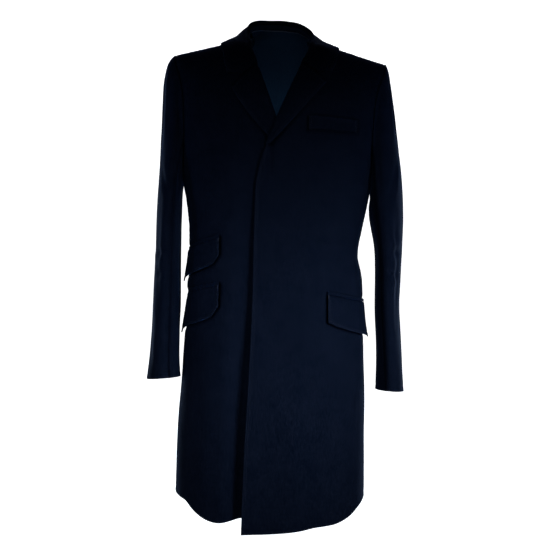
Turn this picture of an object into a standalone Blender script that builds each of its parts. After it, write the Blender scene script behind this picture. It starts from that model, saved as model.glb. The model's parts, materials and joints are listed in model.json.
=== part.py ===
"""Wool overcoat: single-breasted, fly-fronted, notch lapels, slanted flap pockets.

Metres, +Z up. The wearer faces -Y, so the wearer's left is +X. The origin is where the
shoulders carry the coat: on the centre line, level with the points where the shoulder
seams meet the neck.

Each piece is a wall of cloth. The torso is one smooth skin, worked out from a table of
level sections; a panel is a patch of it, and whatever lies on a panel is made from the
same skin, moved out. On the skin a place is given by
  across: an angle from the centre line (0) to the side seam (90 degrees),
  run:    the distance down from the shoulder seam, along the front or the back.
"""

import math

import bpy
import numpy as np

# ---- driving dimensions ---------------------------------------------------------------
CLOTH = 0.0025            # a wall of coating wool
TRIM = 0.0012             # a pocket jet
SEAM = 0.0003             # the gap between pieces that touch
LAY = 0.0009              # the gap under a piece that lies on a curved panel
LAP = 0.0010              # the gap between two panels that lap
HEM_LAP = 0.0014          # so much more where the fronts lap at the hem
LINING_CLOTH = 0.0015

FRONT, BACK = -1, 1
LEFT, RIGHT = 1, -1       # the wearer's

# Level sections of the torso, from the hem to the shoulder seam.
# height, half width, front depth, back depth, squareness, shift to the wearer's left
TORSO = [
    (-0.918, 0.1945, 0.146, 0.150, 2.35, 0.0035),
    (-0.850, 0.1922, 0.143, 0.147, 2.35, 0.0035),
    (-0.750, 0.1892, 0.139, 0.143, 2.35, 0.0030),
    (-0.640, 0.1838, 0.134, 0.138, 2.35, 0.0030),
    (-0.550, 0.1795, 0.129, 0.133, 2.40, 0.0033),
    (-0.480, 0.1778, 0.123, 0.127, 2.40, 0.0025),
    (-0.410, 0.1710, 0.117, 0.113, 2.45, -0.0030),
    (-0.350, 0.1785, 0.119, 0.115, 2.50, 0.0010),
    (-0.285, 0.1885, 0.122, 0.124, 2.55, 0.0008),
    (-0.220, 0.1975, 0.121, 0.131, 2.55, 0.0),
    (-0.150, 0.2065, 0.114, 0.130, 2.50, 0.0),
    (-0.090, 0.2165, 0.099, 0.118, 2.45, 0.0),
    (-0.050, 0.2275, 0.079, 0.099, 2.45, 0.0),
    (-0.025, 0.2375, 0.058, 0.076, 2.40, 0.0),
    (-0.010, 0.2440, 0.037, 0.050, 2.40, 0.0),
    (-0.003, 0.2480, 0.020, 0.028, 2.40, 0.0),
    (0.0, 0.2500, 0.0, 0.0, 2.40, 0.0),
]
HEM_HEIGHT = TORSO[0][0]
ARMPIT_HEIGHT = -0.285

NECK_POINT = 0.078        # half the neck, where the shoulder seam starts
SHOULDER_SLOPE = 0.255
SHOULDER_START = 0.0173   # how softly the slope starts at the neck point
LOW_SHOULDER = 0.006      # the wearer's left shoulder sits this much lower
NAPE_RISE = 0.050         # the back of the neck, above the shoulder seams
NAPE_HEIGHT = -0.024
NECKLINE_SHAPE = 1.3      # above 1 the back's neckline is flatter at the nape
SHOULDER_REACH = 0.30     # the shoulder's slope fades out over this much height
HEM_REACH = 0.575         # and the hem's dips fade out over this much

# Hem: distance from the centre on the panel's own side, drop below the side seam's hem
FRONT_HEM = {
    LEFT: [
        (-0.050, 0.0485), (0.0, 0.0455), (0.060, 0.0395), (0.096, 0.0330), (0.136, 0.0300),
        (0.164, 0.0220), (0.186, 0.0080), (0.198, 0.0),
    ],
    RIGHT: [
        (-0.045, 0.0185), (0.048, 0.0205), (0.085, 0.0285), (0.102, 0.0310), (0.118, 0.0290),
        (0.148, 0.0150), (0.168, 0.0), (0.180, -0.0010), (0.192, 0.0),
    ],
}
BACK_HEM_DROP = 0.006

# Armhole seam: height, distance from the centre
ARMHOLE = [
    (ARMPIT_HEIGHT, 0.1885), (-0.265, 0.1860), (-0.235, 0.1840), (-0.190, 0.1835),
    (-0.140, 0.1845), (-0.090, 0.1880), (-0.050, 0.1960), (-0.020, 0.2060), (0.0, 0.2110),
]

# Inner edge of each front: height, distance from the centre on its own side (below zero
# it has crossed the centre). It is the roll line above the break.
FRONT_EDGE = {
    LEFT: [
        (HEM_HEIGHT, -0.0495), (-0.757, -0.0470), (-0.600, -0.0420), (-0.500, -0.0400),
        (-0.400, -0.0410), (-0.285, -0.0395), (-0.240, -0.0320), (-0.205, -0.0200),
        (-0.180, -0.0085), (-0.155, 0.0015), (-0.113, 0.0180), (-0.077, 0.0330),
        (-0.055, 0.0420), (-0.025, 0.0550), (0.0, NECK_POINT),
    ],
    RIGHT: [
        (HEM_HEIGHT, -0.0450), (-0.600, -0.0450), (-0.350, -0.0450), (-0.285, -0.0400),
        (-0.230, -0.0220), (-0.190, -0.0060), (-0.148, 0.0120), (-0.096, 0.0315),
        (-0.052, 0.0490), (-0.025, 0.0590), (0.0, NECK_POINT),
    ],
}
VENT_TOP = -0.600
VENT_REACH = 0.040        # the right back passes this far under the left one

# Grid of the panels
ROWS_BELOW_ARMPIT = 15
ROWS_AT_ARMHOLE = 15
FRONT_COLUMNS = 15
BACK_COLUMNS = 12


def deg(angle):
    return math.radians(angle)


def ease(t):
    t = np.clip(t, 0.0, 1.0)
    return t * t * (3 - 2 * t)


def unit(v):
    return v / np.linalg.norm(v, axis=-1, keepdims=True)


def smooth(xs, ys):
    """A smooth curve through (xs, ys) that never overshoots its points."""
    xs, ys = np.asarray(xs, float), np.asarray(ys, float)
    step = np.diff(xs)
    rate = np.diff(ys) / step
    slope = np.empty_like(ys)
    slope[0], slope[-1] = rate[0], rate[-1]
    for i in range(1, len(xs) - 1):
        if rate[i - 1] * rate[i] <= 0:
            slope[i] = 0.0
        else:
            w0 = 2 * step[i] + step[i - 1]
            w1 = step[i] + 2 * step[i - 1]
            slope[i] = (w0 + w1) / (w0 / rate[i - 1] + w1 / rate[i])

    def curve(x):
        x = np.clip(x, xs[0], xs[-1])
        i = np.clip(np.searchsorted(xs, x) - 1, 0, len(step) - 1)
        t = (x - xs[i]) / step[i]
        return ((1 + 2 * t) * (1 - t) ** 2 * ys[i] + t * (1 - t) ** 2 * step[i] * slope[i]
                + t * t * (3 - 2 * t) * ys[i + 1] + t * t * (t - 1) * step[i] * slope[i + 1])
    return curve


def even(points, count, start=0.0, end=1.0):
    """The places of `count` even steps along a dense polyline, as fractions of its list."""
    length = np.concatenate([[0], np.cumsum(np.linalg.norm(np.diff(points, axis=0), axis=1))])
    wanted = np.linspace(start, end, count) * length[-1]
    return np.interp(wanted, length, np.linspace(0, 1, len(points)))


# ---- the torso's skin -----------------------------------------------------------------
def torso_profile(face):
    """Everything the sections give, against the distance down from the shoulder seam."""
    rows = np.array(TORSO[::-1])
    depth = rows[:, 2] if face == FRONT else rows[:, 3]
    run = np.concatenate([[0], np.cumsum(np.hypot(np.diff(rows[:, 0]), np.diff(depth)))])
    return {
        "last": run[-1],
        "height": smooth(run, rows[:, 0]),
        "depth": smooth(run, depth),
        "half": smooth(run, rows[:, 1]),
        "square": smooth(run, rows[:, 4]),
        "shift": smooth(run, rows[:, 5]),
    }


PROFILE = {FRONT: torso_profile(FRONT), BACK: torso_profile(BACK)}
HEM_SHAPE = {hand: smooth(*np.array(FRONT_HEM[hand]).T) for hand in (LEFT, RIGHT)}


def run_at(height, face):
    runs = np.linspace(0, PROFILE[face]["last"], 1500)
    return np.interp(-np.asarray(height, float), -PROFILE[face]["height"](runs), runs)


def across_at(own_x, run, face, hand):
    """The angle of a point `own_x` out from the centre, on the hand's own side."""
    p = PROFILE[face]
    part = (own_x - hand * p["shift"](run)) / p["half"](run)
    return np.sign(part) * np.arcsin(np.clip(np.abs(part), 0, 1) ** (p["square"](run) / 2))


# Where the fronts lap: the height at which each step starts and over which it fades in,
# and the distance from the centre at which it has faded out.
CLOSED_BELOW = (-0.115, 0.030)
LAPEL_BETWEEN = (-0.112, -0.245)
LAPEL_FADES = (0.030, 0.035)
HEM_LAP_FADE = 0.25
VENT_FADE = 0.020
LAP_ENDS = {FRONT: (0.080, 0.026), BACK: (0.036, 0.020)}


def under_lap(own_x, height, face, hand):
    """How far a right-hand panel is pushed in where the left one lies over it."""
    if hand == LEFT:
        return 0.0 * own_x
    end, fade = LAP_ENDS[face]
    beside = ease((end - own_x) / fade)
    layer = CLOTH + LAP
    if face == BACK:
        return layer * ease((VENT_TOP + VENT_FADE - height) / VENT_FADE) * beside
    layer = layer + HEM_LAP * ease((VENT_TOP - height) / HEM_LAP_FADE)
    closed = ease((CLOSED_BELOW[0] - height) / CLOSED_BELOW[1])
    lapel = ease((LAPEL_BETWEEN[0] - height) / LAPEL_FADES[0])
    lapel = lapel * ease((height - LAPEL_BETWEEN[1]) / LAPEL_FADES[1])
    return layer * (closed + lapel) * beside


# How the back rises to the nape: it starts this far below the shoulder line and is full
# after this height, and over the last stretch it narrows by this power.
NAPE_FROM, NAPE_OVER = 0.16, 0.14
NAPE_NARROWS, NAPE_STRETCH = 1.5, 0.05


def skin(across, run, face, hand):
    """The outer surface of the torso, before any panel is moved under another."""
    p = PROFILE[face]
    power = 2 / p["square"](run)
    height = p["height"](run)
    s, c = np.sin(across), np.cos(across)
    x = p["shift"](run) + hand * p["half"](run) * np.sign(s) * np.abs(s) ** power
    y = face * p["depth"](run) * np.abs(c) ** power
    shoulder = ease((height + SHOULDER_REACH) / SHOULDER_REACH)
    beyond = np.abs(x) - NECK_POINT
    z = height - shoulder * SHOULDER_SLOPE * 0.5 * (beyond + np.hypot(beyond, SHOULDER_START))
    z = z - shoulder * LOW_SHOULDER * ease(x / ARMHOLE[-1][1])
    low = ease((HEM_HEIGHT + HEM_REACH - height) / HEM_REACH)
    if face == FRONT:
        z = z - low * HEM_SHAPE[hand](hand * x)
    else:
        z = z - low * BACK_HEM_DROP * np.abs(c)
        narrow = 1 + NAPE_NARROWS * ease((NAPE_HEIGHT - height) / NAPE_STRETCH)
        near = np.clip(1 - (x / NECK_POINT) ** 2, 0, 1) ** narrow
        z = z + NAPE_RISE * near * ease((height + NAPE_FROM) / NAPE_OVER)
    return np.stack([x, y, z], axis=-1)


def skin_normal(across, run, face, hand):
    """Outward, by small steps across and down; kept off the seam, where it turns over."""
    run = np.maximum(run, 0.003)
    da, dr = 1e-3, 1e-3
    far = np.minimum(across + da, np.pi / 2)
    along = skin(far, run, face, hand) - skin(far - 2 * da, run, face, hand)
    down = skin(across, run + dr, face, hand) - skin(across, run - dr, face, hand)
    return unit(np.cross(along, down) * hand * face)


def surface(across, run, face, hand, lift=0.0):
    """A point of a panel's outer surface, moved out by `lift`."""
    at = skin(across, run, face, hand)
    out = skin_normal(across, run, face, hand)
    sunk = under_lap(hand * at[..., 0], PROFILE[face]["height"](run), face, hand)
    return at + out * np.asarray(lift - sunk)[..., None]


# ---- cloth ----------------------------------------------------------------------------
def grid_normals(points):
    return unit(np.cross(np.gradient(points, axis=0), np.gradient(points, axis=1)))


def cloth(name, outer, normals, thickness, colour, roughness=0.9):
    """A closed wall from a grid of outer points and the direction that faces out."""
    rows, columns = outer.shape[:2]
    inner = outer - normals * thickness
    verts = np.concatenate([outer.reshape(-1, 3), inner.reshape(-1, 3)])
    back = rows * columns
    facing = np.sum(grid_normals(outer) * normals)

    def at(r, c):
        return r * columns + c

    faces = []
    for r in range(rows - 1):
        for c in range(columns - 1):
            quad = (at(r, c), at(r + 1, c), at(r + 1, c + 1), at(r, c + 1))
            faces.append(quad)
            faces.append(tuple(i + back for i in reversed(quad)))
    rim = [at(0, c) for c in range(columns)]
    rim += [at(r, columns - 1) for r in range(1, rows)]
    rim += [at(rows - 1, c) for c in range(columns - 2, -1, -1)]
    rim += [at(r, 0) for r in range(rows - 2, 0, -1)]
    for i, j in zip(rim, rim[1:] + rim[:1]):
        faces.append((i, j, j + back, i + back))
    if facing < 0:
        faces = [tuple(reversed(f)) for f in faces]

    mesh = bpy.data.meshes.new(name)
    mesh.from_pydata([tuple(v) for v in verts], [], faces)
    mesh.shade_smooth()
    mesh.materials.append(material(colour, roughness))
    piece = bpy.data.objects.new(name, mesh)
    bpy.context.scene.collection.objects.link(piece)
    return piece


def material(colour, roughness):
    name = "finish_" + "_".join(f"{round(c * 1000):03d}" for c in colour)
    made = bpy.data.materials.get(name)
    if made is None:
        made = bpy.data.materials.new(name)
        made.use_nodes = True
        shader = made.node_tree.nodes["Principled BSDF"]
        shader.inputs["Base Color"].default_value = (*colour, 1)
        shader.inputs["Roughness"].default_value = roughness
        shader.inputs["Metallic"].default_value = 0.0
    return made


WOOL = (0.004, 0.006, 0.016)
LINING = (0.001, 0.008, 0.014)


# ---- fronts and backs -----------------------------------------------------------------
def armhole_line(face, hand):
    """across and run of the armhole seam, in even steps from the armpit to the shoulder."""
    table = np.array(ARMHOLE)
    height = ARMPIT_HEIGHT * (1 - np.linspace(0, 1, 400)) ** 2
    run = run_at(height, face)
    run[-1] = 0.0
    own_x = smooth(table[:, 0], table[:, 1])(height)
    across = across_at(own_x, run, face, hand)
    across[0] = np.pi / 2
    places = even(skin(across, run, face, hand), ROWS_AT_ARMHOLE)
    whole = np.linspace(0, 1, len(run))
    return np.interp(places, whole, across), np.interp(places, whole, run)


def outer_line(face, hand):
    """Side seam, then armhole."""
    heights = np.linspace(HEM_HEIGHT, ARMPIT_HEIGHT, ROWS_BELOW_ARMPIT)
    arm_across, arm_run = armhole_line(face, hand)
    across = np.concatenate([np.full(ROWS_BELOW_ARMPIT, np.pi / 2), arm_across[1:]])
    return across, np.concatenate([run_at(heights, face), arm_run[1:]])


# The under side of the vent widens just below its top: this far below it, over this height.
VENT_STEP = (0.004, 0.016)


def inner_line(face, hand):
    """Front edge and roll line, or the centre of the back up to the nape."""
    top = 0.0 if face == FRONT else NAPE_HEIGHT
    low = np.linspace(HEM_HEIGHT, ARMPIT_HEIGHT, ROWS_BELOW_ARMPIT)
    if face == FRONT:
        table = np.array(FRONT_EDGE[hand])
        own_x = smooth(table[:, 0], table[:, 1])
        dense = ARMPIT_HEIGHT + (top - ARMPIT_HEIGHT) * np.linspace(0, 1, 400)
        run = run_at(dense, face)
        line = skin(across_at(own_x(dense), run, face, hand), run, face, hand)
        places = even(line, ROWS_AT_ARMHOLE)
        high = np.interp(places, np.linspace(0, 1, 400), dense)
    else:
        def own_x(height):
            if hand == LEFT:
                return SEAM / 2 + 0.0 * height
            wide = ease((VENT_TOP - VENT_STEP[0] - height) / VENT_STEP[1])
            return SEAM / 2 - (SEAM / 2 + VENT_REACH) * wide
        high = np.linspace(ARMPIT_HEIGHT, top, ROWS_AT_ARMHOLE)
    height = np.concatenate([low, high[1:]])
    run = run_at(height, face)
    if face == FRONT:
        run[-1] = 0.0
    return across_at(own_x(height), run, face, hand), run


def panel(name, face, hand, columns):
    inner, outer = inner_line(face, hand), outer_line(face, hand)
    t = np.linspace(0, 1, 200)
    points, normals = [], []
    for row in range(len(inner[0])):
        across = inner[0][row] + (outer[0][row] - inner[0][row]) * t
        run = inner[1][row] + (outer[1][row] - inner[1][row]) * t
        if face == BACK and row == len(inner[0]) - 1:
            across, run = neckline(hand)
        places = even(skin(across, run, face, hand), columns)
        whole = np.linspace(0, 1, len(across))
        across, run = np.interp(places, whole, across), np.interp(places, whole, run)
        out = skin_normal(across, run, face, hand)
        points.append(surface(across, run, face, hand))
        normals.append(out)
    points, normals = np.array(points), np.array(normals)
    # Beside the side seam and the shoulder seam the wall goes straight in, and each edge
    # stands half a gap back from its neighbour's.
    points[:ROWS_BELOW_ARMPIT, -1, 1] = face * SEAM / 2
    normals[:ROWS_BELOW_ARMPIT, -1, 1] = 0
    on_shoulder = np.abs(points[-1, :, 0]) > NECK_POINT - 0.001
    points[-1, on_shoulder, 1] = face * SEAM / 2
    normals[-1, on_shoulder, 1] = 0
    if face == BACK:
        above_vent = points[:, 0, 2] > VENT_TOP + 0.03
        if hand == LEFT:
            above_vent[:] = True
        normals[above_vent, 0, 0] = 0
    return cloth(name, points, unit(normals), CLOTH, WOOL)


def neck_run(own_x):
    """How far down the back its neckline lies, at this distance from the centre."""
    turn = np.arcsin(np.clip(own_x / NECK_POINT, 0, 1))
    return run_at(NAPE_HEIGHT, BACK) * np.cos(turn) ** NECKLINE_SHAPE


def neckline(hand):
    """The back's top edge: round from the nape to the neck point, then the shoulder seam."""
    turn = np.linspace(0, np.pi / 2, 120)
    own_x = SEAM / 2 + (NECK_POINT - SEAM / 2) * np.sin(turn)
    run = neck_run(own_x)
    neck = across_at(own_x, run, BACK, hand)
    seam_x = np.linspace(NECK_POINT, ARMHOLE[-1][1], 80)[1:]
    seam = across_at(seam_x, 0.0 * seam_x, BACK, hand)
    return np.concatenate([neck, seam]), np.concatenate([run, 0.0 * seam_x])


def make_body():
    for hand, side in ((LEFT, "left"), (RIGHT, "right")):
        panel("front_" + side, FRONT, hand, FRONT_COLUMNS)
        panel("back_" + side, BACK, hand, BACK_COLUMNS)


# ---- sleeves --------------------------------------------------------------------------
# Rings of each sleeve, from the upper arm to the cuff:
# height, centre out, half width, centre forward (-y), half depth, turned out (degrees)
SLEEVE = {
    LEFT: [
        (-0.335, 0.2228, 0.0342, 0.000, 0.084, 9),
        (-0.410, 0.2300, 0.0288, -0.001, 0.079, 8),
        (-0.470, 0.2315, 0.0266, -0.004, 0.075, 7),
        (-0.530, 0.2325, 0.0250, -0.009, 0.071, 6),
        (-0.590, 0.2362, 0.0245, -0.017, 0.067, 5),
        (-0.645, 0.2398, 0.0258, -0.025, 0.063, 4),
        (-0.693, 0.2415, 0.0280, -0.032, 0.060, 3),
    ],
    RIGHT: [
        (-0.335, 0.2150, 0.0250, 0.000, 0.085, 3),
        (-0.410, 0.2155, 0.0256, -0.001, 0.080, 2),
        (-0.470, 0.2160, 0.0265, -0.004, 0.076, 2),
        (-0.530, 0.2165, 0.0275, -0.009, 0.071, 2),
        (-0.590, 0.2172, 0.0285, -0.017, 0.066, 2),
        (-0.645, 0.2180, 0.0312, -0.025, 0.061, 2),
        (-0.681, 0.2175, 0.0350, -0.031, 0.058, 2),
    ],
}
# Outer side of each sleeve's cap: height, distance from the centre
CAP_SIDE = {
    LEFT: [(-0.335, 0.2560), (-0.270, 0.2510), (-0.230, 0.2465), (-0.170, 0.2366),
           (-0.110, 0.2268), (-0.065, 0.2190), (-0.043, 0.2140)],
    RIGHT: [(-0.335, 0.2400), (-0.226, 0.2367), (-0.125, 0.2336), (-0.084, 0.2307),
            (-0.064, 0.2285), (-0.052, 0.2240), (-0.040, 0.2160)],
}
CUFF_TILT = {LEFT: 0.001, RIGHT: 0.0035}   # the outer side hangs lower by twice this
CUFF_RISE = 0.15                           # the front of the cuff is higher, by this slope
SLEEVE_SEAM = 0.0005
LEAVES_UNDER, LEAVES_TOP = (0.20, -0.88), (0.42, -0.48)    # out and up, from the armhole
CAP_RINGS = 6                              # between the armhole and the first ring
CAP_CROWDING = 1.4                         # above one they crowd towards the armhole
CAP_SIDE_KEEPS = 1.5                       # how closely CAP_SIDE holds to the arm's outer side
UNDER_SEAMS = (9, 20)                      # steps round the armhole, from the top, forward


def armhole_ring(hand):
    """The armhole's points, from the shoulder round the front, with their directions."""
    rings, outs = [], []
    for face in (FRONT, BACK):
        across, run = armhole_line(face, hand)
        at = surface(across, run, face, hand)
        out = skin_normal(across, run, face, hand)
        at[0, 1], at[-1, 1] = 0.0, 0.0
        out[0, 1], out[-1, 1] = 0.0, 0.0
        rings.append(at)
        outs.append(unit(out))
    at = np.concatenate([rings[0][::-1], rings[1][1:]])
    out = np.concatenate([outs[0][::-1], outs[1][1:]])
    tangent = np.roll(at, -1, axis=0) - np.roll(at, 1, axis=0)
    tangent[0] = tangent[-1] = at[1] - at[-2]
    into = unit(np.cross(out, unit(tangent))) * hand
    return at, out, into


def sleeve_ring(row, hand, steps):
    height, centre, half, forward, depth, turned = row
    turn = np.linspace(0, 2 * np.pi, steps)
    x = half * np.cos(turn)
    y = -depth * np.sin(turn)
    c, s = math.cos(deg(turned)), math.sin(deg(turned))
    x, y = x * c + y * s, -x * s + y * c
    z = np.full(steps, height)
    if row is SLEEVE[hand][-1]:
        z = z - CUFF_TILT[hand] * np.cos(turn) - CUFF_RISE * y
    return np.stack([hand * (centre + x), forward + y, z], axis=-1)


def sleeve_grid(hand):
    at, out, into = armhole_ring(hand)
    steps = len(at)
    start = at + SEAM * (out + into)
    rings = [sleeve_ring(row, hand, steps) for row in SLEEVE[hand]]
    length = np.linalg.norm(rings[0] - start, axis=1, keepdims=True)
    turn = np.linspace(0, 2 * np.pi, steps)[:, None]
    top = (1 + np.cos(turn)) / 2
    out_by, up_by = (LEAVES_UNDER[k] + (LEAVES_TOP[k] - LEAVES_UNDER[k]) * top for k in (0, 1))
    lead = np.concatenate([hand * out_by, 0 * top, up_by], axis=1)
    arrive = unit(rings[1] - rings[0])
    side = smooth(*np.array(CAP_SIDE[hand]).T)
    grid = []
    for s in np.linspace(0, 1, CAP_RINGS + 1)[:-1] ** CAP_CROWDING:
        h0, h1 = 2 * s ** 3 - 3 * s ** 2 + 1, -2 * s ** 3 + 3 * s ** 2
        t0, t1 = s ** 3 - 2 * s ** 2 + s, s ** 3 - s ** 2
        ring = h0 * start + h1 * rings[0] + length * (t0 * lead + t1 * arrive)
        if s > 0:
            wider = side(ring[0, 2]) - hand * ring[0, 0]
            ring[:, 0] += hand * wider * top[:, 0] ** CAP_SIDE_KEEPS
        grid.append(ring)
    grid = np.array(grid + rings)
    normals = grid_normals(np.concatenate([grid[:, -2:-1], grid, grid[:, 1:2]], axis=1))[:, 1:-1]
    reference = grid - grid.mean(axis=1, keepdims=True)
    if np.sum(normals * reference) < 0:
        normals = -normals
    # The first ring's wall keeps off the edge of the body's wall.
    first = -normals[0]
    inward = np.sum(first * out, axis=1, keepdims=True) < 0
    toward = np.minimum(np.sum(first * into, axis=1, keepdims=True), 0.0)
    first = unit(np.where(inward, first - toward * into, first))
    normals[0] = -first
    return grid, normals


def make_sleeves():
    for hand, side in ((LEFT, "left"), (RIGHT, "right")):
        grid, normals = sleeve_grid(hand)
        fore, hind = UNDER_SEAMS
        turns = grid.shape[1] - 1
        under = list(range(fore, hind + 1))
        upper = list(range(hind, turns)) + list(range(0, fore + 1))
        for name, columns in (("sleeve_top_", upper), ("sleeve_under_", under)):
            part = grid[:, columns].copy()
            # Each long edge stands half a gap back from its neighbour's.
            for edge, beside in ((0, 1), (-1, -2)):
                toward = unit(part[:, beside] - part[:, edge])
                part[:, edge] += toward * SLEEVE_SEAM
            cloth(name + side, part, normals[:, columns], CLOTH, WOOL)


# ---- lapels ---------------------------------------------------------------------------
# On each front: distance from the centre on its own side, height; foot_wide is the lapel's
# width where its roll line ends, notch the share of its top edge that the collar is sewn to.
LAPEL = {
    LEFT: {"foot": -0.205, "foot_wide": 0.006, "tip": (0.0895, -0.0800), "gorge": -0.050,
           "belly": 0.02, "notch": 0.54},
    RIGHT: {"foot": -0.205, "foot_wide": 0.014, "tip": (0.0920, -0.0960), "gorge": -0.057,
            "belly": 0.10, "notch": 0.54},
}
LAPEL_ROWS = 13
LAPEL_COLUMNS = 6
LAPEL_LAY = 0.0012                        # the gap under a lapel
LAPEL_ROLL = 0.0030                       # it stands this much higher between its edges
FOLD_RADIUS = CLOTH / 2 + LAY + CLOTH     # outside of a fold round one wall
FOLD_STEPS = 5
FOLD_START, FOLD_END = -88, 80            # degrees from the way the edge points
FOLD_CLEAR = 0.0009                       # the folded cloth stands this far off the edge


def edge_x(hand, height):
    table = np.array(FRONT_EDGE[hand])
    return smooth(table[:, 0], table[:, 1])(height)


def on_front(own_x, height, hand, lift=0.0):
    run = run_at(height, FRONT)
    across = across_at(own_x, run, FRONT, hand)
    return surface(across, run, FRONT, hand, lift), skin_normal(across, run, FRONT, hand)


def fold(centre, out, beyond, leg, start):
    """The outer points of a fold: up the inside, round the edge, and onto the outside.

    out is the way the cloth's face looks, beyond points past the folded edge, leg is the
    length of the inside strip, and start the angle that the inside begins at.
    """
    points = []
    if leg > 0:
        points.append(centre - out * FOLD_RADIUS - beyond * leg)
    for angle in np.linspace(start, FOLD_END, FOLD_STEPS):
        a = deg(angle)
        points.append(centre + FOLD_RADIUS * (beyond * math.cos(a) + out * math.sin(a)))
    return points


BESIDE_EDGE = 0.004                   # a point on the front this far from its edge
ROLL_OPENS = (0.15, 0.45)             # how far up it begins to turn over, and over what part


def make_lapels():
    for hand, side in ((LEFT, "left"), (RIGHT, "right")):
        cut = LAPEL[hand]
        tip_x, tip_height = cut["tip"]
        heights = np.linspace(cut["foot"], cut["gorge"], LAPEL_ROWS)
        rows = []
        for i, height in enumerate(heights):
            t = i / (LAPEL_ROWS - 1)
            inner_x = float(edge_x(hand, height))
            foot_x = float(edge_x(hand, cut["foot"])) + cut["foot_wide"]
            outer_x = foot_x + (tip_x - foot_x) * (t + cut["belly"] * 4 * t * (1 - t))
            outer_height = cut["foot"] + (tip_height - cut["foot"]) * t
            edge, out = on_front(inner_x, height, hand)
            near, _ = on_front(inner_x + BESIDE_EDGE, height, hand)
            beyond = unit(edge - near)
            centre = edge - out * CLOTH / 2 + beyond * FOLD_CLEAR
            start = FOLD_START * float(ease((t - ROLL_OPENS[0]) / ROLL_OPENS[1]))
            row = fold(centre, out, beyond, 0.0, start)
            for u in np.linspace(0, 1, LAPEL_COLUMNS)[1:]:
                lift = LAPEL_LAY + CLOTH + LAPEL_ROLL * math.sin(math.pi * u) * t
                at, _ = on_front(inner_x + (outer_x - inner_x) * u,
                                 height + (outer_height - height) * u, hand, lift)
                row.append(at)
            rows.append(row)
        grid = np.array(rows)
        normals = grid_normals(grid) * -hand
        cloth("lapel_" + side, grid, normals, CLOTH, WOOL)


# ---- pockets --------------------------------------------------------------------------
# Each flap: hand, inner top (own x, height), outer top height, depth inside and outside,
# corner radius, how far its outer end keeps off the side seam at the top, how far the
# lower edge stands off the front
FLAPS = {
    "flap_hip_left": (LEFT, (0.1050, -0.488), -0.517, 0.053, 0.070, 0.003, 0.012, 0.0070),
    "flap_hip_right": (RIGHT, (0.1060, -0.476), -0.516, 0.055, 0.078, 0.018, 0.050, 0.0040),
    "flap_ticket_right": (RIGHT, (0.1075, -0.388), -0.430, 0.047, 0.058, 0.018, 0.038, 0.0040),
}
FLAP_COLUMNS = 10
FLAP_ROWS = 5
FLAP_SIDE = 0.008                     # the lowest point of its outer end keeps this off
FLAP_STEEP = 0.97                     # keeps a corner's end short of upright
FLARE_INSIDE = 0.3                    # of a flap's stand-off, at its inner end
JET_WIDTH = 0.0055


def flap_line(name, margin):
    """The top edge of a flap on the skin: across, run, and the distance along it."""
    hand, (inner_x, inner_height), outer_height = FLAPS[name][:3]
    top_run = run_at(inner_height, FRONT)
    start = across_at(inner_x, top_run, FRONT, hand)
    across = np.linspace(float(start), np.pi / 2, 120)
    along = (across - across[0]) / (across[-1] - across[0])
    run = run_at(inner_height + (outer_height - inner_height) * along, FRONT)
    line = skin(across, run, FRONT, hand)
    length = np.sum(np.linalg.norm(np.diff(line, axis=0), axis=1))
    places = even(line, FLAP_COLUMNS, 0.0, 1 - margin / length)
    far = np.linspace(0, length - margin, FLAP_COLUMNS)
    return np.interp(places, along, across), np.interp(places, along, run), far


def make_flaps():
    for name, (hand, _, _, inside, outside, radius, margin, flare) in FLAPS.items():
        across, run, far = flap_line(name, margin)
        depth = inside + (outside - inside) * far / far[-1]
        corner = np.clip(1 - far / radius, 0, 1)
        depth = depth - radius * (1 - np.sqrt(1 - corner ** 2 * FLAP_STEEP))
        rows = []
        for t in np.linspace(0, 1, FLAP_ROWS):
            low, low_run, _ = flap_line(name, margin + (FLAP_SIDE - margin) * t)
            share = FLARE_INSIDE + (1 - FLARE_INSIDE) * far / far[-1]
            lift = LAY + CLOTH + flare * t * t * share
            rows.append(surface(low, low_run + depth * t, FRONT, hand, lift))
        grid = np.array(rows)
        cloth(name, grid, grid_normals(grid) * hand, CLOTH, WOOL)

        jet = "jet_" + name.split("_", 1)[1]
        rows = [surface(across, run - 2 * SEAM - JET_WIDTH * t, FRONT, hand, LAY + TRIM)
                for t in (0.0, 1.0)]
        grid = np.array(rows)
        cloth(jet, grid, grid_normals(grid) * -hand, TRIM, WOOL)


WELT = {"inner": (0.0570, -0.1510), "outer": (0.1510, -0.1445), "depth": 0.0265}
WELT_COLUMNS = 7


def make_welt():
    rows = []
    for t in (0.0, 0.5, 1.0):
        row = []
        for u in np.linspace(0, 1, WELT_COLUMNS):
            x = WELT["inner"][0] + (WELT["outer"][0] - WELT["inner"][0]) * u
            height = WELT["inner"][1] + (WELT["outer"][1] - WELT["inner"][1]) * u
            at, _ = on_front(x, height - WELT["depth"] * t, LEFT, LAY + CLOTH)
            row.append(at)
        rows.append(row)
    grid = np.array(rows)
    cloth("welt_breast_left", grid, grid_normals(grid), CLOTH, WOOL)


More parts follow.
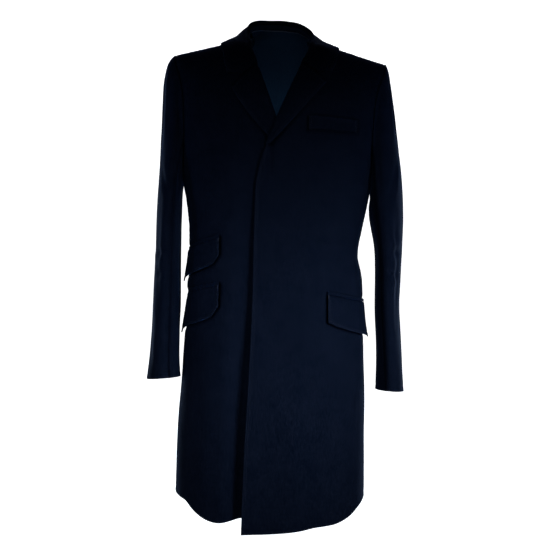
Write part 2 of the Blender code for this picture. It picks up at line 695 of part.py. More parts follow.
# ---- collar ---------------------------------------------------------------------------
# Each side, from the centre of the back to the side of the neck. The centre of the fold
# (x, y, z), how far the fold leans to the centre, how much the outside bows, and the
# outer edge: distance from the centre, and run from the shoulder seam, above zero down
# the back and below zero down the front.
COLLAR = {
    LEFT: [
        (0.0000, 0.0660, 0.0435, 0.0, 0.006, 0.0000, 0.108),
        (0.0180, 0.0640, 0.0420, 0.0, 0.006, 0.0240, 0.106),
        (0.0350, 0.0570, 0.0385, 0.0, 0.006, 0.0500, 0.096),
        (0.0490, 0.0450, 0.0310, 0.0, 0.006, 0.0770, 0.075),
        (0.0590, 0.0300, 0.0210, 0.0, 0.003, 0.0960, 0.046),
        (0.0640, 0.0130, 0.0105, 0.1, 0.001, 0.1070, 0.020),
        (0.0650, -0.0050, 0.0025, 0.2, 0.001, 0.1130, -0.008),
        (0.0635, -0.0220, -0.0045, 0.3, 0.002, 0.1140, -0.036),
        (0.0590, -0.0390, -0.0115, 0.5, 0.004, 0.1090, -0.064),
    ],
    RIGHT: [
        (0.0000, 0.0660, 0.0435, 0.0, 0.006, 0.0000, 0.108),
        (0.0180, 0.0640, 0.0430, 0.0, 0.006, 0.0240, 0.106),
        (0.0350, 0.0580, 0.0422, 0.0, 0.006, 0.0500, 0.096),
        (0.0505, 0.0480, 0.0400, 0.0, 0.006, 0.0770, 0.075),
        (0.0620, 0.0340, 0.0335, 0.0, 0.005, 0.0980, 0.046),
        (0.0655, 0.0170, 0.0205, 0.1, 0.002, 0.1110, 0.020),
        (0.0660, -0.0010, 0.0095, 0.2, 0.002, 0.1170, -0.008),
        (0.0645, -0.0190, 0.0000, 0.3, 0.003, 0.1170, -0.036),
        (0.0600, -0.0370, -0.0100, 0.5, 0.004, 0.1110, -0.064),
    ],
}
COLLAR_ON_FRONT = [-0.022, -0.035]   # heights of the rows that lie on the front
COLLAR_SIDE = (0.1110, -0.0300)      # its outer edge, above the first of those rows
COLLAR_TIP = {LEFT: (0.0985, -0.0590), RIGHT: (0.1010, -0.0690)}
NOTCH_GAP = (0.0012, 0.0010)         # between the collar's end and the lapel
GORGE_GAP = 0.0008
FRONT_BOW = 0.002                    # how far its rows on the front stand off at the middle
COLLAR_STEPS = 5
COLLAR_LEG = 0.002
STAND_ROWS = 7                       # of the collar's rows, on each side
STAND_MIDDLE = 0.012                 # its rows face the point this far before the centre
STAND_LEANS = 0.003                  # its lower edge is this far outside its upper one
STAND_DEPTH = [0.0105, 0.0105, 0.0100, 0.0095, 0.0090, 0.0080, 0.0060]


def on_skin(own_x, run, hand, lift):
    face = BACK if run > 0 else FRONT
    across = across_at(own_x, abs(run), face, hand)
    return surface(across, np.float64(abs(run)), face, hand, lift)


def collar_row(hand, x, y, z, lean, bow, edge_x, edge_run):
    centre = np.array([hand * x, y, z])
    beyond = unit(np.array([-hand * lean, 0.0, 1.0]))
    end = on_skin(edge_x, edge_run, hand, 2 * LAY + CLOTH)
    away = end - centre
    away = unit(away - beyond * np.dot(away, beyond))
    row = fold(centre, away, beyond, COLLAR_LEG, -90)
    start = row[-1]
    for u in np.linspace(0, 1, COLLAR_STEPS)[1:]:
        row.append(start + (end - start) * u + unit(away + beyond) * bow * 4 * u * (1 - u))
    return row


def collar_front_row(hand, height, mid, tip):
    """A row that folds round the front's own edge and lies on the front."""
    inner_x = float(edge_x(hand, height))
    edge, out = on_front(inner_x, height, hand)
    near, _ = on_front(inner_x + BESIDE_EDGE, height, hand)
    beyond = unit(edge - near)
    row = fold(edge - out * CLOTH / 2 + beyond * FOLD_CLEAR, out, beyond, COLLAR_LEG, FOLD_START)
    route = np.array([(inner_x, height), mid, tip])
    for u in np.linspace(0, 1, COLLAR_STEPS)[1:]:
        own_x, level = (np.interp(u, (0, 0.5, 1), route[:, k]) for k in (0, 1))
        row.append(on_front(own_x, level, hand, LAY + CLOTH + FRONT_BOW * math.sin(math.pi * u))[0])
    return row


def make_collar():
    halves = {}
    for hand in (RIGHT, LEFT):
        rows = [collar_row(hand, *row) for row in COLLAR[hand]]
        tip = np.array(COLLAR_TIP[hand])
        gorge = LAPEL[hand]["gorge"] + GORGE_GAP
        roll = np.array([float(edge_x(hand, gorge)), gorge])
        notch = roll + LAPEL[hand]["notch"] * (np.array(LAPEL[hand]["tip"]) - roll)
        notch = notch + np.array(NOTCH_GAP)
        for i, height in enumerate(COLLAR_ON_FRONT):
            t = (i + 1) / (len(COLLAR_ON_FRONT) + 1)
            outer = COLLAR_SIDE + (tip - COLLAR_SIDE) * t
            middle = (np.array([float(edge_x(hand, height)), height]) + outer) / 2
            middle = middle + (notch - (roll + tip) / 2) * t * 0.5
            rows.append(collar_front_row(hand, height, middle, outer))
        rows.append(collar_front_row(hand, gorge, notch, tip))
        halves[hand] = rows
    grid = np.array(halves[RIGHT][:0:-1] + halves[LEFT])
    normals = grid_normals(grid)
    if normals[len(grid) // 2, -1, 1] < 0:
        normals = -normals
    cloth("collar_fall", grid, normals, CLOTH, WOOL)


def stand_edges():
    """Both edges of the band inside the neck, from the right round the back to the left."""
    top, bottom, inward = [], [], []
    for hand in (RIGHT, LEFT):
        order = range(STAND_ROWS - 1, 0, -1) if hand == RIGHT else range(STAND_ROWS)
        for i in order:
            x, y, z = COLLAR[hand][i][:3]
            away = unit(np.array([hand * x, y + STAND_MIDDLE, 0.0]))
            start = np.array([hand * x, y, z]) - away * FOLD_RADIUS
            start = start - np.array([0, 0, COLLAR_LEG + 2 * LAY])
            top.append(start)
            bottom.append(start + away * STAND_LEANS - np.array([0, 0, STAND_DEPTH[i]]))
            inward.append(-away)
    return np.array(top), np.array(bottom), np.array(inward)


def make_stand():
    top, bottom, inward = stand_edges()
    grid = np.array([top, (top + bottom) / 2, bottom])
    cloth("collar_stand", grid, np.repeat(inward[None], 3, axis=0), CLOTH, WOOL)


# Rows of the lining: distance down from the back's neckline, half width
LINING_ROWS = [(0.004, 0.061), (0.022, 0.064), (0.045, 0.072), (0.080, 0.086), (0.125, 0.102),
               (0.180, 0.118)]
LINING_COLUMNS = 13
LINING_GAP = 0.0065
LINING_TOP = slice(2, -2)            # the part of the band that it hangs from


def make_lining():
    _, bottom, _ = stand_edges()
    inside = CLOTH + LINING_GAP + LINING_CLOTH
    top = bottom[LINING_TOP] - np.array([0, 0, LINING_CLOTH])
    places = np.linspace(0, len(top) - 1, LINING_COLUMNS)
    rows = [np.stack([np.interp(places, np.arange(len(top)), top[:, k]) for k in range(3)], 1)]
    for down, half in LINING_ROWS:
        row = []
        for x in np.linspace(-half, half, LINING_COLUMNS):
            hand = LEFT if x > 0 else RIGHT
            run = neck_run(abs(x)) + down
            across = across_at(abs(x), run, BACK, hand)
            out = skin_normal(across, run, BACK, hand)
            row.append(skin(across, run, BACK, hand) - out * inside)
        rows.append(np.array(row))
    grid = np.array(rows)
    normals = grid_normals(grid)
    if normals[3, LINING_COLUMNS // 2, 1] > 0:
        normals = -normals
    cloth("lining_back_neck", grid, normals, LINING_CLOTH, LINING)


def clear_scene():
    for old in list(bpy.data.objects):
        bpy.data.objects.remove(old, do_unlink=True)


clear_scene()
make_body()
make_sleeves()
make_lapels()
make_flaps()
make_welt()
make_collar()
make_stand()
make_lining()
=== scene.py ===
# %% [markdown]
# # Dressing a wool overcoat
#
# The packed solids already are the coat: each cut and sewn piece is a wall of cloth that keeps
# the hollow form of a worn coat. This lesson gives every piece its cloth. It reads the rows and
# columns of points that each wall is made of, lays a finer sheet through them, works soft folds
# into that sheet, turns it back into a thin wall with rolled edges, and finishes it with wool or
# lining. Then come the threads, the piping at the back of the neck and the bound armholes, and
# last the light.

# %% The frame
import json
import math

import bpy
import numpy as np
from mathutils import Matrix, Vector

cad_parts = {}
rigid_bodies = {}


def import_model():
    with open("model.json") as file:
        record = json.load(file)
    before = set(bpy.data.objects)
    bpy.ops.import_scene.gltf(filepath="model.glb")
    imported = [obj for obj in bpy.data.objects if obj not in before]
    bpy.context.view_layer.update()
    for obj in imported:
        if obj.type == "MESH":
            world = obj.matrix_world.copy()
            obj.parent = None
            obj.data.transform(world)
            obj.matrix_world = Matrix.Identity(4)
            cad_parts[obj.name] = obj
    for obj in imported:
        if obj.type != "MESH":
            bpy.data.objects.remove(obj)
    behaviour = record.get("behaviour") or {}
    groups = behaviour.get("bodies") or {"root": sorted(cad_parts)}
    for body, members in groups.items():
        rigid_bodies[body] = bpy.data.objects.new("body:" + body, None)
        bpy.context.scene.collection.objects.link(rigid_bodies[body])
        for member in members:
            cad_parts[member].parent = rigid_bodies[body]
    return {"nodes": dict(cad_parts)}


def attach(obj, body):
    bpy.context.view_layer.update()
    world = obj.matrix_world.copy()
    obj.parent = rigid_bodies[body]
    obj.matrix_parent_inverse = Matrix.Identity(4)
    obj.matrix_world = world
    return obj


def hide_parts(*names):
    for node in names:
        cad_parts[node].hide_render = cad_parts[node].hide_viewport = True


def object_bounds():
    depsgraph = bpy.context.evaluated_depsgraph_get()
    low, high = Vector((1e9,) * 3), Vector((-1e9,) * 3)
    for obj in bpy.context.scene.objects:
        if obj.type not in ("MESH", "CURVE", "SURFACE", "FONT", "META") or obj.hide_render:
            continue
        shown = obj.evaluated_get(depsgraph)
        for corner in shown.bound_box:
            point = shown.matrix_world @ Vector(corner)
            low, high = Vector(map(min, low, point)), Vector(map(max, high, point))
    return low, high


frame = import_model()
cad_low, cad_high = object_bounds()
print("CAD box, mm:", [round(1000 * (high - low)) for low, high in zip(cad_low, cad_high)])

# %% [markdown]
# ## Camera and floor
#
# A coat on an invisible wearer is usually shot from chest height, a little downwards, with a long
# lens. The camera is turned slightly about its own axis, as a hand-held one is.

# %% Camera
CAMERA_AT = Vector((0.002, -2.1, -0.25))
CAMERA_DOWN = math.radians(5.95)
CAMERA_ROLL = math.radians(1.7)
LENS, SENSOR = 67.75, 36.0       # mm


def linked(name, data):
    """A new object for the data, at the origin and in the scene."""
    made = bpy.data.objects.new(name, data)
    bpy.context.scene.collection.objects.link(made)
    return made


def make_camera():
    data = bpy.data.cameras.new("camera")
    data.lens, data.sensor_width = LENS, SENSOR
    camera = linked("camera", data)
    down = Matrix.Rotation(math.pi / 2 - CAMERA_DOWN, 4, "X")
    roll = Matrix.Rotation(CAMERA_ROLL, 4, "Z")
    camera.matrix_world = Matrix.Translation(CAMERA_AT) @ down @ roll
    bpy.context.scene.camera = camera
    return camera


camera = make_camera()
print("camera", [round(x, 3) for x in camera.location])

# %% [markdown]
# The floor turns up into a backdrop in one soft sweep, so that no horizon shows. A profile of
# points is drawn once and pulled sideways. Nothing but the floor's own pale paint is on it.

# %% Floor
FLOOR_BELOW_HEM = 0.34
FLOOR_HALF = 7.0
FLOOR_NEAR, FLOOR_FAR = -6.0, 3.2
SWEEP, SWEEP_STEPS = 1.4, 25     # radius of the turn from the floor to the backdrop
BACKDROP_TOP = 5.0


def make_floor():
    level = cad_low.z - FLOOR_BELOW_HEM
    turn = np.linspace(0, math.pi / 2, SWEEP_STEPS)
    profile = [(FLOOR_NEAR, level)]
    profile += [(FLOOR_FAR + SWEEP * math.sin(a), level + SWEEP * (1 - math.cos(a))) for a in turn]
    profile += [(FLOOR_FAR + SWEEP, BACKDROP_TOP)]
    points = [(x, y, z) for y, z in profile for x in (-FLOOR_HALF, FLOOR_HALF)]
    faces = [(2 * i, 2 * i + 1, 2 * i + 3, 2 * i + 2) for i in range(len(profile) - 1)]
    mesh = bpy.data.meshes.new("floor")
    mesh.from_pydata(points, [], faces)
    mesh.shade_smooth()
    floor = linked("floor", mesh)
    return floor


floor = make_floor()
print("floor", len(floor.data.polygons), "faces")

# %% [markdown]
# ## Node maths in plain Python
#
# A finish is a small formula on nodes. `Value` wraps one output of a node and overloads the
# operators, so that `1 - share` or `a * b + c` adds the Math nodes. Every other kind of node
# comes from `Nodes.add`, which takes the node's type, the values or links of its sockets, and its
# settings. The same two classes later build the geometry trees of the threads.


# %% Values and nodes
class Value:
    """One output of a node. Its operators add Math nodes to the same tree."""

    def __init__(self, nodes, output):
        self.nodes, self.output = nodes, output

    def math(self, operation, *values):
        return self.nodes.add("ShaderNodeMath", dict(enumerate(values)), operation=operation)

    def __add__(self, other):
        return self.math("ADD", self, other)

    def __radd__(self, other):
        return self.math("ADD", other, self)

    def __rsub__(self, other):
        return self.math("SUBTRACT", other, self)

    def __mul__(self, other):
        return self.math("MULTIPLY", self, other)

    def sine(self):
        return self.math("SINE", self)

    def above(self, level):
        return self.math("GREATER_THAN", self, level)


class Nodes:
    """A node tree that grows one call at a time."""

    def __init__(self, tree):
        self.tree = tree

    def add(self, kind, sockets=None, output=0, **settings):
        node = self.tree.nodes.new(kind)
        for name, value in settings.items():
            setattr(node, name, value)
        for socket, value in (sockets or {}).items():
            self.feed(node.inputs[socket], value)
        return Value(self, node.outputs[output])

    def feed(self, socket, value):
        if isinstance(value, Value):
            self.tree.links.new(value.output, socket)
        else:
            socket.default_value = value


operators = [name for name in vars(Value) if name.endswith(("add__", "sub__", "mul__"))]
print("operators on Value:", operators)

# %% [markdown]
# A finish is such a tree in a new material. It has a method for each kind of node that the
# cloths share, and `shade` joins the values to the Principled shader.


# %% Finishes
NOISE_ROUGHNESS = 0.55


class Finish(Nodes):
    """A material whose Principled shader is fed by the values that are made here."""

    def __init__(self, name):
        self.material = bpy.data.materials.new(name)
        self.material.use_nodes = True
        super().__init__(self.material.node_tree)
        self.shader = self.tree.nodes["Principled BSDF"]

    def shade(self, **sockets):
        for name, value in sockets.items():
            self.feed(self.shader.inputs[name.replace("_", " ")], value)
        return self.material

    def place(self):
        return self.add("ShaderNodeTexCoord", output="Object")

    def noise(self, vector, scale, detail=2.0):
        return self.add("ShaderNodeTexNoise", {"Vector": vector, "Scale": scale, "Detail": detail,
                                               "Roughness": NOISE_ROUGHNESS})

    def stretched(self, vector, scale):
        return self.add("ShaderNodeMapping", {"Vector": vector, "Scale": scale})

    def light_and_wear(self, name):
        return self.add("ShaderNodeAttribute", output="Fac", attribute_name=name)

    def bump(self, strength, distance, height):
        return self.add("ShaderNodeBump", {"Strength": strength, "Distance": distance,
                                           "Height": height})

    def mix(self, share, a, b):
        a, b = (colour if isinstance(colour, Value) else (*colour, 1.0) for colour in (a, b))
        return self.add("ShaderNodeMix", {"Factor": share, 6: a, 7: b}, 2, data_type="RGBA")

    def ribs(self, pitch, steepness):
        """A twill's diagonal ribs on the cloth's own map, from -1 to 1."""
        weave = self.add("ShaderNodeUVMap", uv_map="cloth")
        across = self.add("ShaderNodeSeparateXYZ", {0: weave}, "X")
        along = self.add("ShaderNodeSeparateXYZ", {0: weave}, "Y")
        turns = 2 * math.pi / pitch / math.hypot(steepness, 1.0)
        return ((across * steepness + along) * turns).sine()


print("a finish can:", [name for name in vars(Finish) if not name.startswith("_")])

# %% [markdown]
# ## The wool
#
# Coating wool is a heavy twill that has been milled and brushed, so a short nap covers the weave.
# From a step away it is a nearly black navy that swallows light. Looked at along the surface, the
# fibre ends catch the light in a soft bluish sheen. Close up there are mottled patches of denser
# and thinner nap, single paler fibres that lie down the cloth, and a faint diagonal rib.
#
# The patches and fibres are noise in object coordinates, squeezed along Z so that the nap runs
# down. The rib follows the sheet's own UV map, which is in metres. Folded edges are painted a
# little paler, a painted highlight that also stands for wear. Deep in a seam, beside a flap or a
# welt and beside a lapel's outer edge, the colour is painted nearly black as painted shade. The
# sheets carry an attribute for each.

# %% Wool
# the painted shade's colour, for seams and dents
SHADE_NAVY_BLACK = (0.00002, 0.00005, 0.00020)
NAVY_DEEP = (0.00030, 0.00075, 0.0021)
NAVY_SOFT = (0.00108, 0.00176, 0.0041)
NAVY_FIBRE = (0.0028, 0.0042, 0.0088)
NAVY_SHEEN = (0.08, 0.28, 1.0)
PATCHES_PER_METRE = 34.0
TUFTS_PER_METRE = 420.0
FIBRES_PER_METRE = 1500.0
RIB_PITCH = 0.0011               # metres from rib to rib
NAP_RUNS = (1.0, 1.0, 0.28)      # squeezed along Z
NAP_PATCHES, NAP_TUFTS = 0.30, 0.70      # how much each counts in the colour
THIN_NAP, DENSE_NAP = 0.36, 0.66         # where the colour is deepest, and where softest
PALE_FIBRE, FIBRE_SHARE = 0.665, 0.55
# free edges are painted paler as a highlight and as wear; seams and dents are painted dark as shade
HIGHLIGHT_AND_WEAR_EVEN, HIGHLIGHT_AND_WEAR_SHARE, HOLLOW_SHADE_SHARE = 0.1, 0.5, 0.92
HIGH = {"tufts": 0.50, "fibres": 0.34, "rib": 0.035, "patches": 0.30}
BUMP_STRENGTH, BUMP_DEPTH = 0.55, 0.0011
ROUGH, ROUGHER_TUFTS = 0.80, 0.16
SHINE = 0.006
SHEEN, SHEEN_ROUGHNESS = 0.036, 0.30
STAND_PAINTED_LIGHT = 3.0                 # the collar's stand is the coat's wool painted three times paler, as painted light


def make_wool(name, lift=1.0):
    """`lift` is how many times paler the cloth is painted than the coat's own, as painted light."""
    cloth = Finish(name)
    place = cloth.place()
    down_the_nap = cloth.stretched(place, NAP_RUNS)
    patches = cloth.noise(place, PATCHES_PER_METRE, 4.0)
    tufts = cloth.noise(down_the_nap, TUFTS_PER_METRE, 3.0)
    fibres = cloth.noise(down_the_nap, FIBRES_PER_METRE, 2.0)
    rubbed, hollow = cloth.light_and_wear("rubbed"), cloth.light_and_wear("hollow")
    rib = cloth.ribs(RIB_PITCH, 1.0)
    nap = patches * NAP_PATCHES + tufts * NAP_TUFTS
    share = cloth.add("ShaderNodeMapRange", {"Value": nap, "From Min": THIN_NAP,
                                             "From Max": DENSE_NAP}, clamp=True)
    deep, soft, fibre = ([c * lift for c in navy] for navy in (NAVY_DEEP, NAVY_SOFT, NAVY_FIBRE))
    ground = cloth.mix(fibres.above(PALE_FIBRE) * FIBRE_SHARE, cloth.mix(share, deep, soft), fibre)
    # free edges are painted paler: a painted highlight, and wear
    light_and_wear = cloth.mix(rubbed * (tufts + HIGHLIGHT_AND_WEAR_EVEN) * HIGHLIGHT_AND_WEAR_SHARE, ground, fibre)
    # seams and dents are painted nearly black: painted shade
    colour = cloth.mix(hollow * HOLLOW_SHADE_SHARE, light_and_wear, SHADE_NAVY_BLACK)
    height = (tufts * HIGH["tufts"] + fibres * HIGH["fibres"] + rib * HIGH["rib"]
              + patches * HIGH["patches"])
    return cloth.shade(Base_Color=colour, Roughness=ROUGH + tufts * ROUGHER_TUFTS,
                       Normal=cloth.bump(BUMP_STRENGTH, BUMP_DEPTH, height),
                       Specular_IOR_Level=SHINE, Specular_Tint=(*NAVY_SHEEN, 1.0),
                       Sheen_Weight=SHEEN, Sheen_Roughness=SHEEN_ROUGHNESS,
                       Sheen_Tint=(*NAVY_SHEEN, 1.0))


wool = make_wool("coat_wool")
# the collar's stand: the same wool painted three times paler, as painted light
stand_wool = make_wool("stand_wool", STAND_PAINTED_LIGHT)
print("wool:", len(wool.node_tree.nodes), "nodes")

# %% [markdown]
# ## The lining and the threads
#
# The lining is a smooth twill with a dull shine. Its ribs are much finer than the wool's and
# steeper. Thread is the same navy as the wool but tighter twisted, so it shines a little more.

# %% Lining and thread
LINING_DEEP = (0.0011, 0.0052, 0.0130)
LINING_LIGHT = (0.0036, 0.0112, 0.0250)
LINING_PITCH = 0.0007
LINING_SHINE, LINING_TINT = 0.012, (0.3, 0.6, 1.0, 1.0)
SLUBS_PER_METRE, SLUB_RUNS = 700.0, (1.0, 1.0, 0.1)
RIB_IN_COLOUR, RIB_IN_HEIGHT = 0.22, 0.4
THREAD_NAVY, THREAD_SHINE = (0.0030, 0.0048, 0.0120), 0.10
PIPING_BLUE, PIPING_SHINE = (0.0120, 0.0190, 0.0420), 0.25
STRANDS_PER_METRE, BETWEEN_STRANDS = 2600.0, 0.5


def make_lining():
    silk = Finish("lining_twill")
    rib = silk.ribs(LINING_PITCH, 2.0)
    slubs = silk.noise(silk.stretched(silk.place(), SLUB_RUNS), SLUBS_PER_METRE)
    colour = silk.mix(rib * RIB_IN_COLOUR + slubs, LINING_DEEP, LINING_LIGHT)
    return silk.shade(Base_Color=colour, Roughness=0.42 + slubs * 0.14,
                      Normal=silk.bump(0.35, 0.0003, rib * RIB_IN_HEIGHT + slubs),
                      Specular_IOR_Level=LINING_SHINE, Specular_Tint=LINING_TINT, Anisotropic=0.4)


def make_thread(name, tint, shine):
    twist = Finish(name)
    strands = twist.noise(twist.place(), STRANDS_PER_METRE)
    return twist.shade(Base_Color=twist.mix(strands, [c * BETWEEN_STRANDS for c in tint], tint),
                       Roughness=0.5 + strands * 0.2, Normal=twist.bump(0.4, 0.0002, strands),
                       Specular_IOR_Level=shine)


lining = make_lining()
thread = make_thread("thread", THREAD_NAVY, THREAD_SHINE)
satin = make_thread("satin_piping", PIPING_BLUE, PIPING_SHINE)
print("lining and threads:", lining.name, thread.name, satin.name)

# %% [markdown]
# ## Reading a wall's rows and columns
#
# Each CAD wall is a grid of outer points, the same grid moved in by the cloth's thickness, and a
# rim between them, all cut into triangles. A finer sheet needs the rows and columns back. The rim
# is easy to find: its triangles are the only ones with a side as long as the cloth is thick. Of
# the two sheets that are left, the outer one is larger.

# %% A wall's outer sheet
CLOTH, LINING_CLOTH, TRIM = 0.0025, 0.0015, 0.0012
SAME_LENGTH = 1e-5
SAME_PLACE = 5                   # decimals of a metre


def thickness_of(node):
    return TRIM if node.startswith("jet") else LINING_CLOTH if node.startswith("lining") else CLOTH


def node_triangles(node):
    """A node's points, with doubles merged, and its triangles. The node itself isn't touched."""
    mesh = frame["nodes"][node].data
    mesh.calc_loop_triangles()
    points = np.empty(len(mesh.vertices) * 3, np.float32)
    mesh.vertices.foreach_get("co", points)
    points = points.reshape(-1, 3).astype(float)
    corners = np.empty(len(mesh.loop_triangles) * 3, np.int32)
    mesh.loop_triangles.foreach_get("vertices", corners)
    _, first, same = np.unique(np.round(points, SAME_PLACE), axis=0, return_index=True,
                               return_inverse=True)
    return points[first], same.reshape(-1)[corners].reshape(-1, 3)


def neighbours(triangles):
    near = {}
    for corners in triangles.tolist():
        for v in corners:
            near.setdefault(v, set()).update(corners)
    return {v: others - {v} for v, others in near.items()}


def outer_sheet(points, triangles, thickness):
    """The triangles of the larger of the two sheets that are left without the rim."""
    sides = np.linalg.norm(points[triangles] - points[np.roll(triangles, 1, axis=1)], axis=2)
    both = triangles[np.all(np.abs(sides - thickness) > SAME_LENGTH, axis=1)]
    near, left, largest = neighbours(both), set(both.ravel().tolist()), (0.0, None)
    while left:
        todo = [min(left)]
        group = set(todo)
        while todo:
            new = near[todo.pop()] - group
            group |= new
            todo.extend(new)
        left -= group
        mine = both[[corners[0] in group for corners in both.tolist()]]
        a, b, c = (points[mine[:, k]] for k in range(3))
        area = np.linalg.norm(np.cross(b - a, c - a), axis=1).sum() / 2
        if area > largest[0]:
            largest = (area, mine)
    return largest[1]


for node in ("front_left", "jet_hip_left"):
    triangles = node_triangles(node)
    print(node, len(triangles[1]), "triangles,",
          len(outer_sheet(*triangles, thickness_of(node))), "on the outer sheet")

# %% [markdown]
# On the outer sheet a row that starts at a corner is known from the rim, and each next row is the
# set of points that touch the one before. The rows and columns are then laid in a known order.


# %% Rows and columns
def rim_loop(triangles):
    """The sheet's boundary, as a list of points in order, and each one's two neighbours on it."""
    used = {}
    for a, b, c in triangles.tolist():
        for side in ((a, b), (b, c), (c, a)):
            key = (min(side), max(side))
            used[key] = used.get(key, 0) + 1
    beside = {}
    for (a, b), times in used.items():
        if times == 1:
            beside.setdefault(a, []).append(b)
            beside.setdefault(b, []).append(a)
    loop = [min(beside)]
    loop.append(min(beside[loop[0]]))
    while True:
        after = [v for v in beside[loop[-1]] if v != loop[-2]][0]
        if after == loop[0]:
            return loop, beside
        loop.append(after)


def next_row(row, seen, near, beside):
    found = set().union(*(near[v] for v in row)) - seen
    starts = [v for v in beside[row[0]] if v in found]
    if len(found) != len(row) or len(starts) != 1:
        return None
    line = starts
    while len(line) < len(row):
        after = [v for v in near[line[-1]] if v in found and v not in line]
        if len(after) != 1:
            return None
        line.append(after[0])
    return line


def grid_of(triangles):
    """The sheet's points as rows and columns."""
    near = neighbours(triangles)
    loop, beside = rim_loop(triangles)
    both = (len(loop) + 4) // 2
    short = (both - math.isqrt(both * both - 4 * len(near))) // 2
    for start in range(len(loop)):
        rows = [[loop[(start + k) % len(loop)] for k in range(short)]]
        seen = set(rows[0])
        while len(rows) < both - short:
            row = next_row(rows[-1], seen, near, beside)
            if row is None:
                break
            rows.append(row)
            seen |= set(row)
        if len(rows) == both - short:
            return np.array(rows)
    raise ValueError("no rows and columns found")


def read_sheet(node, rows_run, columns_run):
    """The outer points as rows x columns x 3, laid so that the rows follow one another along
    rows_run and the columns along columns_run, and whether their cross product faces out."""
    points, triangles = node_triangles(node)
    sheet = outer_sheet(points, triangles, thickness_of(node))
    index = grid_of(sheet)
    a, b, c = (points[sheet[:, k]] for k in range(3))
    facing = np.zeros_like(points)
    for k in range(3):
        np.add.at(facing, sheet[:, k], np.cross(b - a, c - a))
    steps = [np.abs(np.diff(points[index], axis=k).sum(axis=(0, 1)) @ rows_run) for k in (0, 1)]
    if steps[1] / index.shape[0] > steps[0] / index.shape[1]:
        index = index.T
    if np.diff(points[index], axis=0).sum(axis=(0, 1)) @ rows_run < 0:
        index = index[::-1]
    if np.diff(points[index], axis=1).sum(axis=(0, 1)) @ columns_run < 0:
        index = index[:, ::-1]
    grid = points[index]
    across = np.cross(np.gradient(grid, axis=0), np.gradient(grid, axis=1))
    return grid, 1.0 if np.sum(across * facing[index]) > 0 else -1.0


DOWN = np.array((0.0, 0.0, -1.0))
SIDEWAYS = np.array((1.0, 0.0, 0.0))
FORWARD = np.array((0.0, -1.0, 0.0))
print("welt:", read_sheet("welt_breast_left", DOWN, SIDEWAYS)[0].shape[:2])

# %% [markdown]
# Each piece has the way its rows follow one another, the way its columns do, and the region of
# the coat whose folds it takes.

# %% The pieces
LEFT, RIGHT = 1, -1              # the wearer's
SIDES = ((LEFT, "left"), (RIGHT, "right"))
PIECES = {}
for hand, side in SIDES:
    PIECES["front_" + side] = (DOWN, hand * SIDEWAYS, "front")
    PIECES["back_" + side] = (DOWN, hand * SIDEWAYS, "back")
    PIECES["sleeve_top_" + side] = (DOWN, FORWARD, "sleeve_" + side)
    PIECES["sleeve_under_" + side] = (DOWN, FORWARD, "sleeve_" + side)
    PIECES["lapel_" + side] = (DOWN, hand * SIDEWAYS, "front")
for name, hand in (("hip_left", LEFT), ("hip_right", RIGHT), ("ticket_right", RIGHT)):
    PIECES["flap_" + name] = (DOWN, hand * SIDEWAYS, "front")
    PIECES["jet_" + name] = (DOWN, hand * SIDEWAYS, "front")
PIECES["welt_breast_left"] = (DOWN, SIDEWAYS, "front")
PIECES["collar_fall"] = (SIDEWAYS, DOWN, "collar")
PIECES["collar_stand"] = (SIDEWAYS, DOWN, "collar")
PIECES["lining_back_neck"] = (DOWN, SIDEWAYS, "inside")

sheets = {node: read_sheet(node, *way[:2]) for node, way in PIECES.items()}
for node, (grid, _) in sheets.items():
    print(f"{node:20s} {grid.shape[0]:3d} rows {grid.shape[1]:3d} columns")

# %% [markdown]
# ## A finer sheet through the same points
#
# A cloth's surface is one smooth curve in every direction, except at true corners such as the
# point under the arm. Each row and column becomes a chain of cubic curves through its points.
# At a point the direction is the mean of the two steps beside it; where those steps turn sharply,
# each side keeps its own. The chain is cut so that every cell comes out about as small as `cell`.


# %% Finer sheets
def unit(vectors):
    return vectors / np.maximum(np.linalg.norm(vectors, axis=-1, keepdims=True), 1e-12)


def far_along(line):
    """How far along a line each of its points is."""
    return np.concatenate([[0], np.cumsum(np.linalg.norm(np.diff(line, axis=0), axis=1))])


def ease(share):
    share = np.clip(share, 0.0, 1.0)
    return share * share * (3 - 2 * share)


def bell(away, width):
    return np.exp(-(away / width) ** 2)


CORNER = math.cos(math.radians(50))      # a sharper turn is a corner
TEST_CELL = 0.005


def through(points, cell, least, cuts=None):
    """Cubic curves through the points along the first axis. `cuts` marks more corners."""
    step = np.diff(points, axis=0)
    length = np.linalg.norm(step, axis=2, keepdims=True)
    way = unit(step)
    mean = unit(way[:-1] * length[1:] + way[1:] * length[:-1])
    sharp = np.sum(way[:-1] * way[1:], axis=2, keepdims=True) < CORNER
    if cuts is not None:
        sharp = sharp | cuts[..., None]
    arrive = np.concatenate([np.where(sharp, way[:-1], mean), way[-1:]])
    leave = np.concatenate([way[:1], np.where(sharp, way[1:], mean)])
    made = []
    for i, long in enumerate(length):
        count = max(least, math.ceil(float(long.mean()) / cell))
        for t in np.arange(count)[:, None, None] / count:
            made.append((1 + 2 * t) * (1 - t) ** 2 * points[i] + t * t * (3 - 2 * t) * points[i + 1]
                        + long * (t * (1 - t) ** 2 * leave[i] + t * t * (t - 1) * arrive[i]))
    made = [np.squeeze(row) for row in made]
    return np.array(made + [points[-1]])


def finer(grid, cell, least=2, notch=None):
    """`notch` is the column at which the first and the last row turn a corner."""
    rows = through(grid, cell, least).transpose(1, 0, 2)
    cuts = np.zeros((len(rows) - 2, rows.shape[1]), bool)
    if notch is not None:
        cuts[notch - 1, [0, -1]] = True
    return through(rows, cell, least, cuts).transpose(1, 0, 2)


def normals_of(grid, sign):
    return sign * unit(np.cross(np.gradient(grid, axis=0), np.gradient(grid, axis=1)))


print("front_left, finer:", finer(sheets["front_left"][0], TEST_CELL).shape[:2])
